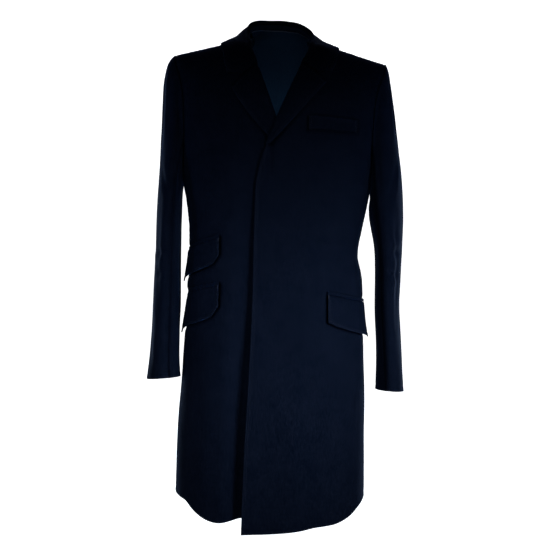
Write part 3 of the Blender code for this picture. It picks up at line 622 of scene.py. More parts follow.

# %% [markdown]
# ## Folds
#
# Heavy wool on a body hangs nearly smooth. What it has are long, shallow rolls: a few that hang
# from the hips to the hem, drag lines from the armholes and the waist, short breaks at the bend
# of the elbow, and a dimple under the point where the lapels turn. Each fold is listed here in
# millimetres: three places on the route of its trough, its half width, its depth, and
# how high a ridge stands beside it, as a share of the depth (above zero on the right of the
# route, below zero on its left). A place on the body is the distance to the wearer's left and the
# height. On a sleeve it is the distance round it, forward of its outer side, and the height.

# %% Folds as listed
FOLDS = {
    "front": [
        # the dimple and drag under the break
        (-19, -200, -14, -226, -15, -268, 6.0, 4.2, 0.5),
        (30, -205, 12, -240, 4, -290, 12.0, 1.2, -0.5),
        (-35, -225, -60, -262, -78, -310, 13.0, 1.2, 0.4),
        # from the armholes in to the chest
        (176, -235, 142, -225, 98, -200, 10.0, 2.0, 0.6),
        (178, -262, 150, -285, 112, -300, 13.0, 1.8, -0.5),
        (-176, -240, -150, -222, -112, -206, 11.0, 1.8, -0.6),
        (-178, -268, -146, -296, -104, -318, 13.0, 1.6, 0.5),
        # across the waist
        (166, -388, 128, -402, 80, -398, 12.0, 1.6, 0.5),
        (168, -428, 140, -446, 106, -452, 10.5, 1.3, -0.4),
        (-170, -372, -140, -366, -98, -352, 10.5, 1.3, 0.5),
        (-166, -446, -132, -460, -88, -452, 12.0, 1.2, -0.5),
        # hanging from the hips
        (150, -600, 146, -740, 150, -930, 24.0, 4.2, -0.6),
        (82, -640, 88, -780, 98, -960, 28.0, 3.0, 0.5),
        (20, -560, 26, -720, 22, -900, 22.0, 1.4, 0.4),
        (-152, -610, -150, -760, -156, -930, 23.0, 4.0, 0.6),
        (-92, -660, -102, -800, -112, -950, 27.0, 3.0, -0.5),
        (-58, -470, -66, -620, -70, -800, 20.0, 1.2, 0.4),
    ],
    "inside": [
        (1, -35, 0, -120, -1, -260, 2.4, 1.2, 0.8),
    ],
    "back": [
        # between the shoulder blades, and down to the waist
        (60, -90, 82, -170, 90, -270, 20.0, 2.2, 0.5),
        (-58, -85, -84, -160, -98, -275, 21.0, 2.0, -0.5),
        (176, -210, 150, -250, 110, -290, 12.0, 2.2, 0.5),
        (-176, -205, -146, -240, -104, -270, 12.0, 2.4, -0.5),
        (165, -395, 110, -412, 50, -404, 13.0, 2.2, 0.5),
        (160, -440, 118, -448, 70, -440, 11.0, 1.4, -0.4),
        (-165, -385, -120, -404, -64, -410, 13.0, 2.0, -0.5),
        (-160, -436, -104, -442, -48, -430, 11.0, 1.6, 0.4),
        # hanging from the seat
        (128, -560, 134, -720, 142, -910, 27.0, 4.6, -0.5),
        (58, -620, 64, -770, 74, -915, 25.0, 3.4, 0.5),
        (-132, -580, -138, -740, -148, -910, 26.0, 4.4, 0.5),
        (-74, -640, -84, -780, -90, -915, 24.0, 3.0, -0.5),
    ],
    "sleeve_left": [
        # the valley along the armhole, and the roll that stands beside it
        (118, -70, 126, -180, 122, -330, 15.0, 5.2, -0.5),
        (26, -50, 16, -130, 10, -215, 7.5, 3.0, 0.8),
        (66, -330, 60, -430, 66, -560, 13.0, 2.6, -0.6),
        (20, -50, 24, -110, 30, -190, 10.0, 2.4, -0.7),
        (-30, -70, -36, -150, -32, -240, 11.0, 2.0, 0.6),
        (50, -235, 70, -275, 100, -305, 10.0, 2.4, 0.5),
        (-50, -290, -66, -350, -74, -440, 12.0, 2.2, -0.5),
        (115, -395, 70, -412, 20, -405, 9.0, 2.6, 0.6),
        (120, -440, 82, -450, 40, -466, 8.5, 2.2, -0.5),
        (-20, -452, -52, -470, -90, -466, 10.0, 1.6, 0.5),
        (30, -520, 20, -585, 26, -655, 12.0, 1.6, 0.5),
    ],
    "sleeve_right": [
        (120, -65, 128, -170, 118, -310, 16.0, 5.0, -0.5),
        (70, -320, 62, -410, 70, -540, 14.0, 2.2, -0.5),
        (-26, -55, -32, -120, -36, -215, 11.0, 2.2, 0.6),
        (34, -65, 42, -140, 40, -220, 11.0, 2.0, -0.5),
        (56, -255, 80, -292, 110, -318, 10.0, 2.2, -0.5),
        (-46, -300, -60, -370, -66, -452, 12.0, 2.0, 0.5),
        (118, -404, 74, -424, 24, -420, 9.0, 2.4, -0.5),
        (112, -452, 80, -464, 36, -482, 8.5, 2.0, 0.5),
        (-24, -444, -58, -458, -94, -450, 10.0, 1.8, -0.5),
        (36, -540, 30, -600, 38, -650, 12.0, 1.6, -0.5),
    ],
}
print({region: len(rows) for region, rows in FOLDS.items()})

# %% [markdown]
# A fold's profile is a bell: deepest on the route, gone at about twice its half width, and it
# fades towards both ends of the route. The ridge is a flatter bell beside it, where the cloth
# that the trough took in stands up.


# %% How folds shape a sheet
CREST_AT, CREST_WIDE = 1.7, 1.2  # of the ridge, in half widths
FADE_AT_END, FADE_ACROSS, FADE_POWER = 0.06, 0.88, 0.8


def along_route(route, flat):
    """For each flat place: how far along the route its nearest point is, how far to the side."""
    length = far_along(route)
    best = np.full(flat.shape[:-1], np.inf)
    share, side = np.zeros_like(best), np.zeros_like(best)
    for i, (start, step) in enumerate(zip(route[:-1], np.diff(route, axis=0))):
        long = np.linalg.norm(step)
        offset = flat - start
        on = np.clip(offset @ step / long ** 2, 0, 1)
        gap = np.linalg.norm(offset - on[..., None] * step, axis=-1)
        turned = (offset[..., 0] * step[1] - offset[..., 1] * step[0]) / long
        nearer = gap < best
        best = np.where(nearer, gap, best)
        share = np.where(nearer, (length[i] + on * long) / length[-1], share)
        side = np.where(nearer, np.where(turned < 0, -gap, gap), side)
    return share, side


def fold_height(region, flat):
    height = np.zeros(flat.shape[:-1])
    for *route, width, depth, ridge in FOLDS.get(region, []):
        width, depth = width / 1000, depth / 1000
        share, side = along_route(np.array(route).reshape(-1, 2) / 1000, flat)
        fade = np.sin(math.pi * (FADE_AT_END + FADE_ACROSS * share)) ** FADE_POWER
        trough = bell(side, width)
        ends = np.where((share <= 0) | (share >= 1), trough, 1.0)
        beside = side - math.copysign(CREST_AT, ridge) * width
        height += depth * fade * ends * (abs(ridge) * bell(beside, CREST_WIDE * width) - trough)
    return height


print("deepest fold, mm:", max(row[7] for rows in FOLDS.values() for row in rows))

# %% [markdown]
# Under the folds lie very shallow waves, which no pressed surface is without. They are sums of a
# few slow sines, so the same on every run. Folds are drawn on a flat map. For the body that is
# the view straight from the front, and for a sleeve the way round its own middle line.

# %% Waves and maps
# Wave lengths along x, y and z in metres, and height in metres
WAVE_SHIFT, WAVE_WOBBLE, WOBBLE_PITCH = 1.7, 0.8, 0.6
WAVES = [
    (0.31, 0.40, 0.52, 0.00060), (-0.23, 0.33, 0.29, 0.00045), (0.17, -0.21, 0.37, 0.00035),
    (0.11, 0.15, -0.19, 0.00022), (-0.083, 0.10, 0.13, 0.00014), (0.061, -0.07, 0.088, 0.00008),
]


def wave_height(points):
    height = np.zeros(points.shape[:-1])
    for i, (x, y, z, size) in enumerate(WAVES):
        phase = 2 * math.pi * (points @ np.array((1 / x, 1 / y, 1 / z))) + WAVE_SHIFT * i
        height += size * np.sin(phase + WAVE_WOBBLE * np.sin(WOBBLE_PITCH * phase + i))
    return height


SLEEVE_RADIUS = 0.058            # turns an angle round a sleeve into a distance
SLEEVE_SQUEEZE = 0.45            # of its depth, so that the angles are those of a round sleeve
MIDDLE_TOP, ABOVE_CUFF, MIDDLE_LEVELS = -0.02, 0.02, 14
MIDDLE_REACH = 0.05              # how far up and down a middle is taken over


def flat_places(points, region):
    """Where each point lies on the flat map that the region's folds are drawn on."""
    if not region.startswith("sleeve"):
        return points[..., [0, 2]]
    hand = LEFT if region.endswith("left") else RIGHT
    heights = points[..., 2]
    middle_x = hand * np.interp(heights, *sleeve_middles[region][0])
    middle_y = np.interp(heights, *sleeve_middles[region][1])
    forward = -(points[..., 1] - middle_y) * SLEEVE_SQUEEZE
    angle = np.arctan2(forward, hand * points[..., 0] - hand * middle_x)
    return np.stack([SLEEVE_RADIUS * angle, heights], axis=-1)


def sleeve_middle(hand, side):
    """The sleeve's middle line: height against distance out, and height against y."""
    both = np.concatenate([sheets[f"sleeve_{part}_{side}"][0].reshape(-1, 3)
                           for part in ("top", "under")])
    levels = np.linspace(both[:, 2].min() + ABOVE_CUFF, MIDDLE_TOP, MIDDLE_LEVELS)
    out, forward = [], []
    for level in levels:
        near = both[np.abs(both[:, 2] - level) < MIDDLE_REACH]
        out.append(hand * (near[:, 0].min() + near[:, 0].max()) / 2)
        forward.append((near[:, 1].min() + near[:, 1].max()) / 2)
    return (levels, out), (levels, forward)


sleeve_middles = {"sleeve_" + side: sleeve_middle(hand, side) for hand, side in SIDES}
print("sleeves' middles at", MIDDLE_LEVELS, "heights,", len(WAVES), "waves")

# %% [markdown]
# ## Walls with rolled edges
#
# The sheet becomes a closed wall again: the outer points, the inner points and a rim. A cut and
# sewn edge is never square. At a free edge the cloth is folded over, at a seam it dips into the
# seam, and both look like a small round. So the rim is a half circle of five steps inside the
# CAD wall's own edge.

# %% Rolled edges
RIM_STEPS = (90, 45, 0, -45, -90)        # degrees round the edge, from the outer sheet


def boundary(shape):
    """Row and column of each place on the boundary, in order."""
    rows, columns = shape
    places = [(0, c) for c in range(columns)]
    places += [(r, columns - 1) for r in range(1, rows)]
    places += [(rows - 1, c) for c in range(columns - 2, -1, -1)]
    places += [(r, 0) for r in range(rows - 2, 0, -1)]
    return np.array(places)


def rolled_rim(grid, normals, thickness, ring, push):
    """The rim's lines of points, from the outer sheet's edge round to the inner one's, and which
    way round the cloth they run."""
    rows, columns = grid.shape[:2]
    r, c = ring
    edge, out = grid[r, c], normals[r, c]
    along = np.roll(edge, -1, axis=0) - np.roll(edge, 1, axis=0)
    beyond = unit(np.cross(along, out))
    inside = grid[np.clip(r, 1, rows - 2), np.clip(c, 1, columns - 2)]
    beyond *= np.sign(np.sum(beyond * (edge - inside), axis=1, keepdims=True))
    half = thickness / 2
    middle = edge - beyond * (half - push[r, c][:, None]) - out * half
    rim = [middle + half * (beyond * math.cos(angle) + out * math.sin(angle))
           for angle in map(math.radians, RIM_STEPS)]
    return rim, np.sum(np.cross(unit(along), out) * beyond) > 0


print("rim of", len(RIM_STEPS), "lines")

# %% [markdown]
# The faces are the outer sheet, the inner one turned round, and the strips of the rim. The
# sheet's flat lengths become its UV map.
#
# The inside of the walls is what a look into the coat shows: a facing of wool along the front
# edges and the hem, and lining everywhere else. It is only a second finish on the inner faces.

# %% Walls
FACING_WIDE = 0.075              # of wool inside a front's edge
HEM_TURNED_UP = 0.045            # of wool inside the hem and the cuffs


def flat_lengths(grid):
    """Distances along the columns' and the rows' own lines, in metres."""
    across = np.linalg.norm(np.diff(grid, axis=1), axis=2)
    along = np.linalg.norm(np.diff(grid, axis=0), axis=2)
    u = np.concatenate([np.zeros((grid.shape[0], 1)), np.cumsum(across, axis=1)], axis=1)
    v = np.concatenate([np.zeros((1, grid.shape[1])), np.cumsum(along, axis=0)])
    return u, v


def wall_faces(grid, normals, ring, turning):
    """The wall's quads: the outer sheet's, the inner one's, then the strips of the rim."""
    sheet = grid.shape[0] * grid.shape[1]
    corner = np.arange(sheet).reshape(grid.shape[:2])
    quads = np.stack([corner[:-1, :-1], corner[1:, :-1], corner[1:, 1:], corner[:-1, 1:]], axis=-1)
    quads = quads.reshape(-1, 4)
    sense = np.cross(np.gradient(grid, axis=0), np.gradient(grid, axis=1))
    if np.sum(sense * normals) < 0:
        quads = quads[:, ::-1]
    edge = corner[ring]
    between = [2 * sheet + k * len(edge) + np.arange(len(edge)) for k in range(len(RIM_STEPS) - 2)]
    lines = [edge, *between, edge + sheet]
    strips = [np.stack([a, b, np.roll(b, -1), np.roll(a, -1)], axis=-1)[:, ::1 if turning else -1]
              for a, b in zip(lines[:-1], lines[1:])]
    return np.concatenate([quads, quads[:, ::-1] + sheet, *strips])


def on_every_point(values, ring):
    """A sheet's values, repeated for the inner sheet and for the rim."""
    flat = values.reshape(-1, *values.shape[2:])
    return np.concatenate([flat, flat] + [values[ring]] * (len(RIM_STEPS) - 2)).astype(np.float32)


def wall(name, grid, normals, thickness, finishes, shows_lining, painted_maps, push):
    """A closed wall. The inner sheet has the second finish where `shows_lining`. The maps of
    painted highlight, wear and painted shade become attributes, and `push` is how far each edge
    goes on into its seam."""
    ring = tuple(boundary(grid.shape[:2]).T)
    rim, turning = rolled_rim(grid, normals, thickness, ring, push)
    outer, inner = grid.copy(), grid - normals * thickness
    outer[ring], inner[ring] = rim[0], rim[-1]
    points = np.concatenate([outer.reshape(-1, 3), inner.reshape(-1, 3), *rim[1:-1]])
    faces = wall_faces(grid, normals, ring, turning)
    mesh = bpy.data.meshes.new(name)
    mesh.from_pydata(points.tolist(), [], faces.tolist())
    mesh.shade_smooth()
    for finish in finishes:
        mesh.materials.append(finish)
    second = np.zeros(len(faces), np.int32)
    if shows_lining is not None:
        cells = shows_lining[:-1, :-1] & shows_lining[1:, 1:]
        second[cells.size:2 * cells.size] = cells.reshape(-1)
    mesh.polygons.foreach_set("material_index", second)
    flat = on_every_point(np.stack(flat_lengths(grid), axis=-1), ring)
    loops = np.empty(len(mesh.loops), np.int32)
    mesh.loops.foreach_get("vertex_index", loops)
    mesh.uv_layers.new(name="cloth").data.foreach_set("uv", flat[loops].ravel())
    for kind, light_and_wear in painted_maps.items():
        values = on_every_point(light_and_wear, ring)
        mesh.attributes.new(kind, "FLOAT", "POINT").data.foreach_set("value", values)
    return linked(name, mesh)


print("facing and hem, mm:", 1000 * FACING_WIDE, 1000 * HEM_TURNED_UP)

# %% [markdown]
# ## Which edges are sewn and which are free
#
# A seam pulls the two cloths into a shallow groove, with a little puckering beside it. A free
# edge is turned and pressed: it is fuller right at the edge, with a faint line further in where
# the turned cloth ends. For every piece the table says what its top, bottom, first and last
# column are: `sewn`, `free` or `tucked` (hidden under another piece, so left alone).

# %% Edges
TUCKED = ("tucked",) * 4
EDGES = {
    "front": ("sewn", "free", "roll", "sewn"),
    "back": ("sewn", "free", "vent", "sewn"),
    "sleeve": ("sewn", "free", "sewn", "sewn"),
    "lapel": ("sewn", "free", "tucked", "free"),
    "flap": ("sewn", "free", "free", "free"),
    "jet": TUCKED,
    "welt": ("free", "sewn", "sewn", "sewn"),
    "collar_fall": ("sewn", "sewn", "tucked", "free"),
    "collar_stand": TUCKED,
    "lining": TUCKED,
}
BREAK_HEIGHT, VENT_TOP = -0.205, -0.600
# Edges that change on the way down: what they are above, what they are below, and from where
CHANGING = {"roll": ("tucked", "free", BREAK_HEIGHT), "vent": ("sewn", "free", VENT_TOP)}
CHANGE_OVER = 0.02
SEAM_DIP, SEAM_REACH = 0.0009, 0.0045
SEAM_CLOSES = 0.0006             # how far a sewn edge goes on, into the seam's other side
SMOOTH_BESIDE_SEAMS = 0.022      # over which folds fade out towards a seam
PUCKER, PUCKER_PITCH = 0.00030, 0.013
DRIFT, DRIFT_PITCH = 2.1, 0.047  # which make the puckers uneven
SEAM_SHADE, SHADE_REACH = 0.7, 0.0020
PRESS_LINE, PRESS_DIP, PRESS_WIDE = 0.0100, 0.00035, 0.0022
PRESS_SWELL, SWELL_REACH = 0.00025, 0.005
# how far in from a free edge the painted highlight and wear reach
HIGHLIGHT_AND_WEAR_REACH = 0.0030


def for_kind(table, node):
    """What a table says for the kind of piece that the node's name starts with."""
    return next(entry for start, entry in table.items() if node.startswith(start))


def edge_distances(grid):
    u, v = flat_lengths(grid)
    return v, v[-1:] - v, u, u[:, -1:] - u


def shares_of(kind, heights):
    """How much of each point's edge is sewn, and how much is free."""
    if kind not in CHANGING:
        return [np.full(heights.shape, float(kind == name)) for name in ("sewn", "free")]
    above, below, level = CHANGING[kind]
    high = ease((heights - level) / CHANGE_OVER + 0.5)
    return [high * (above == name) + (1 - high) * (below == name) for name in ("sewn", "free")]


def edge_height(node, grid):
    """What seams and pressed edges add to the sheet's height. Also where the colour is painted
    paler as highlight and wear, and darker as painted shade in the seams.
    """
    height, rubbed, hollow = (np.zeros(grid.shape[:2]) for _ in range(3))
    u, v = flat_lengths(grid)
    for kind, away, line in zip(for_kind(EDGES, node), edge_distances(grid), (u, u, v, v)):
        sewn, free = shares_of(kind, grid[..., 2])
        drift = DRIFT * np.sin(2 * math.pi * line / DRIFT_PITCH)
        puckers = PUCKER * np.sin(2 * math.pi * line / PUCKER_PITCH + drift)
        beside = bell(away - 2 * SEAM_REACH, SEAM_REACH)
        height += sewn * (-SEAM_DIP * bell(away, SEAM_REACH) + puckers * beside)
        height += free * PRESS_SWELL * bell(away, SWELL_REACH)
        height -= free * PRESS_DIP * bell(away - PRESS_LINE, PRESS_WIDE)
        # painted highlight and wear along the free edges
        rubbed = np.maximum(rubbed, free * bell(away, HIGHLIGHT_AND_WEAR_REACH))
        # painted shade in the seams
        hollow = np.maximum(hollow, SEAM_SHADE * sewn * bell(away, SHADE_REACH))
    return height, rubbed, hollow


def beside_seams(node, grid):
    """1 inside a piece, falling to 0 at its seams, so that two pieces meet where they were cut."""
    calm = np.ones(grid.shape[:2])
    for kind, away in zip(for_kind(EDGES, node), edge_distances(grid)):
        sewn, _ = shares_of(kind, grid[..., 2])
        calm = np.minimum(calm, 1 - sewn * (1 - ease(away / SMOOTH_BESIDE_SEAMS)))
    return calm


def seam_push(node, grid):
    """How far each boundary place goes on into its seam."""
    push = np.zeros(grid.shape[:2])
    places = (np.s_[0, :], np.s_[-1, :], np.s_[:, 0], np.s_[:, -1])
    for kind, place in zip(for_kind(EDGES, node), places):
        sewn, _ = shares_of(kind, grid[place][:, 2])
        push[place] = np.maximum(push[place], SEAM_CLOSES * sewn)
    return push


print("seam dip", SEAM_DIP, "m; press line", PRESS_LINE, "m in from a free edge")

# %% [markdown]
# ## Where pieces lie on each other
#
# Two layers of heavy cloth never lie flat on each other. The left front's edge rolls forward, and
# under it the right front falls back, a little at the break of the lapels and a good deal at the
# hem, which is what draws the dark line down the middle of a coat. A lapel has no end: at the foot
# of its roll it runs out into the front. The layers under a flap or a welt show as a dent in
# the front all round it, as does the outer edge of a lapel. In these dents the colour is painted
# nearly black, as painted shade.

# %% Laps, lapel feet and dents
LAP_LENGTH = 0.70
FALLS_BACK = (0.0020, 0.0150)    # of the right front, at the break and what the hem adds
FALL_STARTS, ROLL_STARTS = 0.06, 0.05    # over what height
ROLL_ABOVE_BREAK = 0.03
FALL_FROM, FALL_OVER = -0.100, 0.050
ROLLS_OUT = (0.0008, 0.0026)     # of the left front's edge, in the same way
ROLL_REACH = 0.020
FOOT_REACH, FOOT_SINKS = 0.020, 0.0034
DENT_WIDE, DENT_DEEP = 0.0046, 0.0038
LAPEL_DENT_GROWS = 1.5           # the power by which it deepens towards the lapel's foot
# how much each piece dents the front, which also sets how dark the painted shade in that dent is
DENTED_AND_SHADED = {"flap_hip_left": 1.0, "flap_hip_right": 1.0, "flap_ticket_right": 1.0,
              "welt_breast_left": 0.5, "lapel_left": 1.2, "lapel_right": 0.6}


def lap_height(node, grid):
    down = ease((BREAK_HEIGHT - grid[..., 2]) / LAP_LENGTH)
    _, to_foot, from_edge, _ = edge_distances(grid)
    if node == "front_right":
        under = ease((grid[..., 0] - FALL_FROM) / FALL_OVER)
        below = ease((BREAK_HEIGHT - grid[..., 2]) / FALL_STARTS)
        return -(FALLS_BACK[0] + FALLS_BACK[1] * down) * under * below
    if node == "front_left":
        below = ease((BREAK_HEIGHT + ROLL_ABOVE_BREAK - grid[..., 2]) / ROLL_STARTS)
        return (ROLLS_OUT[0] + ROLLS_OUT[1] * down) * bell(from_edge, ROLL_REACH) * below
    if node.startswith("lapel"):
        return -FOOT_SINKS * ease(1 - to_foot / FOOT_REACH)
    return 0.0


def outline_of(piece):
    """The edges of a piece that press into the front under it."""
    grid = sheets[piece][0]
    if piece.startswith("lapel"):
        return grid[:, -1][:, [0, 2]]
    around = [grid[0], grid[1:, -1], grid[-1, -2::-1], grid[-2::-1, 0]]
    return np.concatenate(around)[:, [0, 2]]


def dents_and_shade(node, grid):
    """How deep a front is dented beside each piece that lies on it, from 0 to 1, which also sets
    how dark it is painted there as painted shade.
    """
    hollow = np.zeros(grid.shape[:2])
    for piece, deep in DENTED_AND_SHADED.items() if node.startswith("front") else ():
        if piece.endswith(node[5:]):
            share, side = along_route(outline_of(piece), grid[..., [0, 2]])
            deep = deep * share ** LAPEL_DENT_GROWS if piece.startswith("lapel") else deep
            hollow = np.maximum(hollow, deep * bell(side, DENT_WIDE))
    return hollow


print("the right front falls back", 1000 * sum(FALLS_BACK), "mm at the hem")

# %% [markdown]
# ## Dressing the pieces
#
# All the pieces go through the same steps. Panels and sleeves are cut into cells of about 4 mm,
# the small pieces into cells of 1 to 2 mm. Folds move a point along the smooth sheet's own
# normal, so neighbours that meet at a seam move together and stay joined.

# %% Cloth for every piece
CELLS = {"front_": 0.0034, "back_": 0.0044, "sleeve": 0.0036, "collar_fall": 0.0022,
         "collar_stand": 0.0015, "lapel": 0.0018, "flap": 0.0016, "jet": 0.0012, "welt": 0.0016,
         "lining": 0.0020}
COLLAR_NOTCH = 7                 # the column of the collar at which its end leaves the gorge


def lined(node, grid):
    """Which inner points show lining: all but the facing and the turned-up hems."""
    if not node.startswith(("front", "back", "sleeve")):
        return None
    _, to_hem, from_first, _ = edge_distances(grid)
    inside = to_hem > HEM_TURNED_UP
    if node.startswith("front"):
        inside &= from_first > FACING_WIDE
    return inside


def dress(node):
    grid, sign = sheets[node]
    region = PIECES[node][2]
    notch = COLLAR_NOTCH if node == "collar_fall" else None
    fine = finer(grid, for_kind(CELLS, node), notch=notch)
    normals = normals_of(fine, sign)
    raised = fold_height(region, flat_places(fine, region)) + wave_height(fine)
    raised = raised * beside_seams(node, fine)
    pressed, rubbed, hollow = edge_height(node, fine)
    dent_depth_and_shade = dents_and_shade(node, fine)
    raised = raised + lap_height(node, fine) - DENT_DEEP * dent_depth_and_shade
    # painted highlight and wear at free edges; painted shade in seams and dents
    painted_maps = {"rubbed": rubbed, "hollow": np.clip(np.maximum(hollow, dent_depth_and_shade), 0, 1)}
    shaped = fine + normals * (raised + pressed)[..., None]
    finish = {"lining_back_neck": lining, "collar_stand": stand_wool}.get(node, wool)
    made = wall("cloth_" + node, shaped, normals_of(shaped, sign), thickness_of(node),
                [finish, lining], lined(node, fine), painted_maps, seam_push(node, fine))
    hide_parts(node)
    return made, shaped


dressed, shapes = {}, {}
for node in PIECES:
    dressed[node], shapes[node] = dress(node)
    print(f"{node:20s} {len(dressed[node].data.polygons):7d} faces")

# %% [markdown]
# ## Threads and piping
#
# A coat's free edges are picked by hand: a row of tiny stitches a few millimetres in, in thread
# of the cloth's own colour, which show as pricks. The lining is felled to the stand with slanted
# stitches, a piping covers that seam, and the ends of the pockets are tacked. All of it follows
# the edges of the dressed pieces, so the paths are read from their points. Each path point keeps
# the cloth's own direction outwards, in an attribute named `up`.


# %% Paths beside edges
def line_inside(node, side, inset, lift, trim=None):
    """A line at `inset` from one side of a piece: its points, lifted off the cloth, and which
    way is up there. `trim` is how much of it is left off at both ends."""
    shape = shapes[node]
    both = np.concatenate([shape, normals_of(shape, sheets[node][1])], axis=2)
    if side in ("top", "bottom"):
        both = both.transpose(1, 0, 2)
    if side in ("bottom", "last"):
        both = both[:, ::-1]
    away = flat_lengths(both[..., :3])[0]
    line = np.array([[np.interp(inset, far, values) for values in row.T]
                     for far, row in zip(away, both)])
    points, up = line[:, :3], unit(line[:, 3:])
    done = far_along(points)
    trim = inset if trim is None else trim
    keep = (done >= trim) & (done <= done[-1] - trim)
    up = up * math.copysign(1.0, lift)
    return points[keep] + up[keep] * abs(lift), up[keep]


def path_object(name, paths):
    """One mesh of open chains, with the attribute `up` on its points."""
    points = np.concatenate([path for path, _ in paths])
    starts = np.cumsum([0] + [len(path) for path, _ in paths])
    edges = [(i, i + 1) for a, b in zip(starts[:-1], starts[1:]) for i in range(a, b - 1)]
    mesh = bpy.data.meshes.new(name)
    mesh.from_pydata(points.tolist(), edges, [])
    up = np.concatenate([way for _, way in paths]).astype(np.float32)
    mesh.attributes.new("up", "FLOAT_VECTOR", "POINT").data.foreach_set("vector", up.ravel())
    return linked(name, mesh)


print("a path of", len(line_inside("lapel_left", "last", 0.006, 0.0002)[0]), "points")

# %% [markdown]
# A stitch is repeated hundreds of times along its path, which is work for Geometry Nodes. The
# path becomes a curve, the curve is cut at even steps, and on each step lies one small bead of
# thread. The piping is a round pulled along the same kind of path. Each tree has named inputs for
# its sizes, and ends in plain geometry, because instances don't leave Blender.


# %% Recipes
class Recipe(Nodes):
    """A geometry tree with named inputs. It ends in real geometry with one material."""

    def __init__(self, name, **inputs):
        super().__init__(bpy.data.node_groups.new(name, "GeometryNodeTree"))
        kinds = {float: "NodeSocketFloat", int: "NodeSocketInt", type(None): "NodeSocketMaterial"}
        self.new_socket = self.tree.interface.new_socket
        self.new_socket("Geometry", in_out="INPUT", socket_type="NodeSocketGeometry")
        self.new_socket("Geometry", in_out="OUTPUT", socket_type="NodeSocketGeometry")
        self.ids = {}
        for key, start in dict(inputs, Material=None).items():
            socket = self.new_socket(key, in_out="INPUT", socket_type=kinds[type(start)])
            if start is not None:
                socket.default_value = start
            self.ids[key] = socket.identifier
        self.given_node = self.tree.nodes.new("NodeGroupInput")

    def given(self, key):
        return Value(self, self.given_node.outputs[key])

    def even_path(self, step):
        curve = self.add("GeometryNodeMeshToCurve", {"Mesh": self.given("Geometry")})
        return self.add("GeometryNodeResampleCurve", {"Curve": curve, "Length": step},
                        mode="LENGTH")

    def end(self, geometry):
        real = self.add("GeometryNodeRealizeInstances", {"Geometry": geometry})
        smooth = self.add("GeometryNodeSetShadeSmooth", {"Geometry": real})
        done = self.add("GeometryNodeSetMaterial",
                        {"Geometry": smooth, "Material": self.given("Material")})
        self.feed(self.tree.nodes.new("NodeGroupOutput").inputs[0], done)
        return self


print("a recipe can:", [name for name in vars(Recipe) if not name.startswith("_")])

# %% [markdown]
# A stitch is a flattened ball that is turned along the path and laid down on the cloth. Each one
# is a little off its slant, as one sewn by hand is.

# %% Stitches and piping
BY_HAND = 0.15                   # radians that a stitch is off its slant, either way
FLATTENED = 0.8                  # a bead's height, as a share of its breadth


def stitch_recipe():
    row = Recipe("row_of_stitches", Pitch=0.005, Length=0.0016, Radius=0.0003, Slant=0.0, Seed=3)
    way = row.add("GeometryNodeInputTangent")
    up = row.add("GeometryNodeInputNamedAttribute", {"Name": "up"}, data_type="FLOAT_VECTOR")
    aimed = row.add("FunctionNodeAlignRotationToVector", {"Vector": way}, axis="X")
    upright = row.add("FunctionNodeAlignRotationToVector", {"Rotation": aimed, "Vector": up},
                      axis="Z", pivot_axis="X")
    by_hand = row.add("FunctionNodeRandomValue", {
        2: -BY_HAND, 3: BY_HAND, "Seed": row.given("Seed")}, 1, data_type="FLOAT")
    slant = row.add("FunctionNodeAxisAngleToRotation",
                    {"Axis": (0.0, 0.0, 1.0), "Angle": row.given("Slant") + by_hand})
    lying = row.add("FunctionNodeRotateRotation", {"Rotation": upright, "Rotate By": slant},
                    rotation_space="LOCAL")
    bead = row.add("GeometryNodeMeshUVSphere", {"Segments": 8, "Rings": 5, "Radius": 1.0})
    size = row.add("ShaderNodeCombineXYZ", {
        0: row.given("Length") * 0.5, 1: row.given("Radius"), 2: row.given("Radius") * FLATTENED})
    stitch = row.add("GeometryNodeTransform", {"Geometry": bead, "Scale": size})
    return row.end(row.add("GeometryNodeInstanceOnPoints", {
        "Points": row.even_path(row.given("Pitch")), "Instance": stitch, "Rotation": lying}))


def piping_recipe():
    piping = Recipe("piping", Radius=0.001, Step=0.002, Sides=10)
    profile = piping.add("GeometryNodeCurvePrimitiveCircle", {
        "Resolution": piping.given("Sides"), "Radius": piping.given("Radius")}, mode="RADIUS")
    path = piping.even_path(piping.given("Step"))
    return piping.end(piping.add("GeometryNodeCurveToMesh", {
        "Curve": path, "Profile Curve": profile, "Fill Caps": True}))


def follow(name, recipe, paths, material, **sizes):
    """Runs a recipe on paths and keeps the result as a plain mesh."""
    path = path_object(name + "_path", paths)
    modifier = path.modifiers.new("recipe", "NODES")
    modifier.node_group = recipe.tree
    for key, value in dict(sizes, Material=material).items():
        modifier[recipe.ids[key]] = value
    bpy.context.view_layer.update()
    grown = path.evaluated_get(bpy.context.evaluated_depsgraph_get())
    mesh = bpy.data.meshes.new_from_object(grown)
    path.modifiers.clear()
    bpy.data.objects.remove(path)
    mesh.name = name
    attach(linked(name, mesh), "root")
    print(f"{name:20s} {len(mesh.polygons):7d} faces")


stitches, piping = stitch_recipe(), piping_recipe()
for recipe in (stitches, piping):
    print("recipe:", recipe.tree.name, len(recipe.tree.nodes), "nodes")

# %% [markdown]
# Edge stitches sit six millimetres in from the edge. On the front they start below the break,
# because above it the edge is turned under the lapel. Tacks are the same stitch set close and
# across their path. The lining and the stand show their inner faces, so their threads lie there,
# on the far side of the cloth from the CAD wall's outer sheet.

# %% Threads on the coat
EDGE_INSET, FLAP_INSET, TACK_INSET = 0.0060, 0.0050, 0.0018
WELT_INSETS, WELT_TRIM = (0.0016, 0.0050), 0.0012
TACK_LONG, TACK_TRIM = 0.0060, 0.0008
ON_CLOTH = 0.00010               # how far a bead's middle stands off the cloth
INSIDE_LINING = -(LINING_CLOTH + ON_CLOTH)
FELL_INSET, PIPING_INSET = 0.0022, 0.0004


def part_of(path, keep):
    """The part of a path where `keep` is true of its points."""
    points, up = path
    return points[keep], up[keep]


def start_of(path, length):
    return part_of(path, far_along(path[0]) <= length)


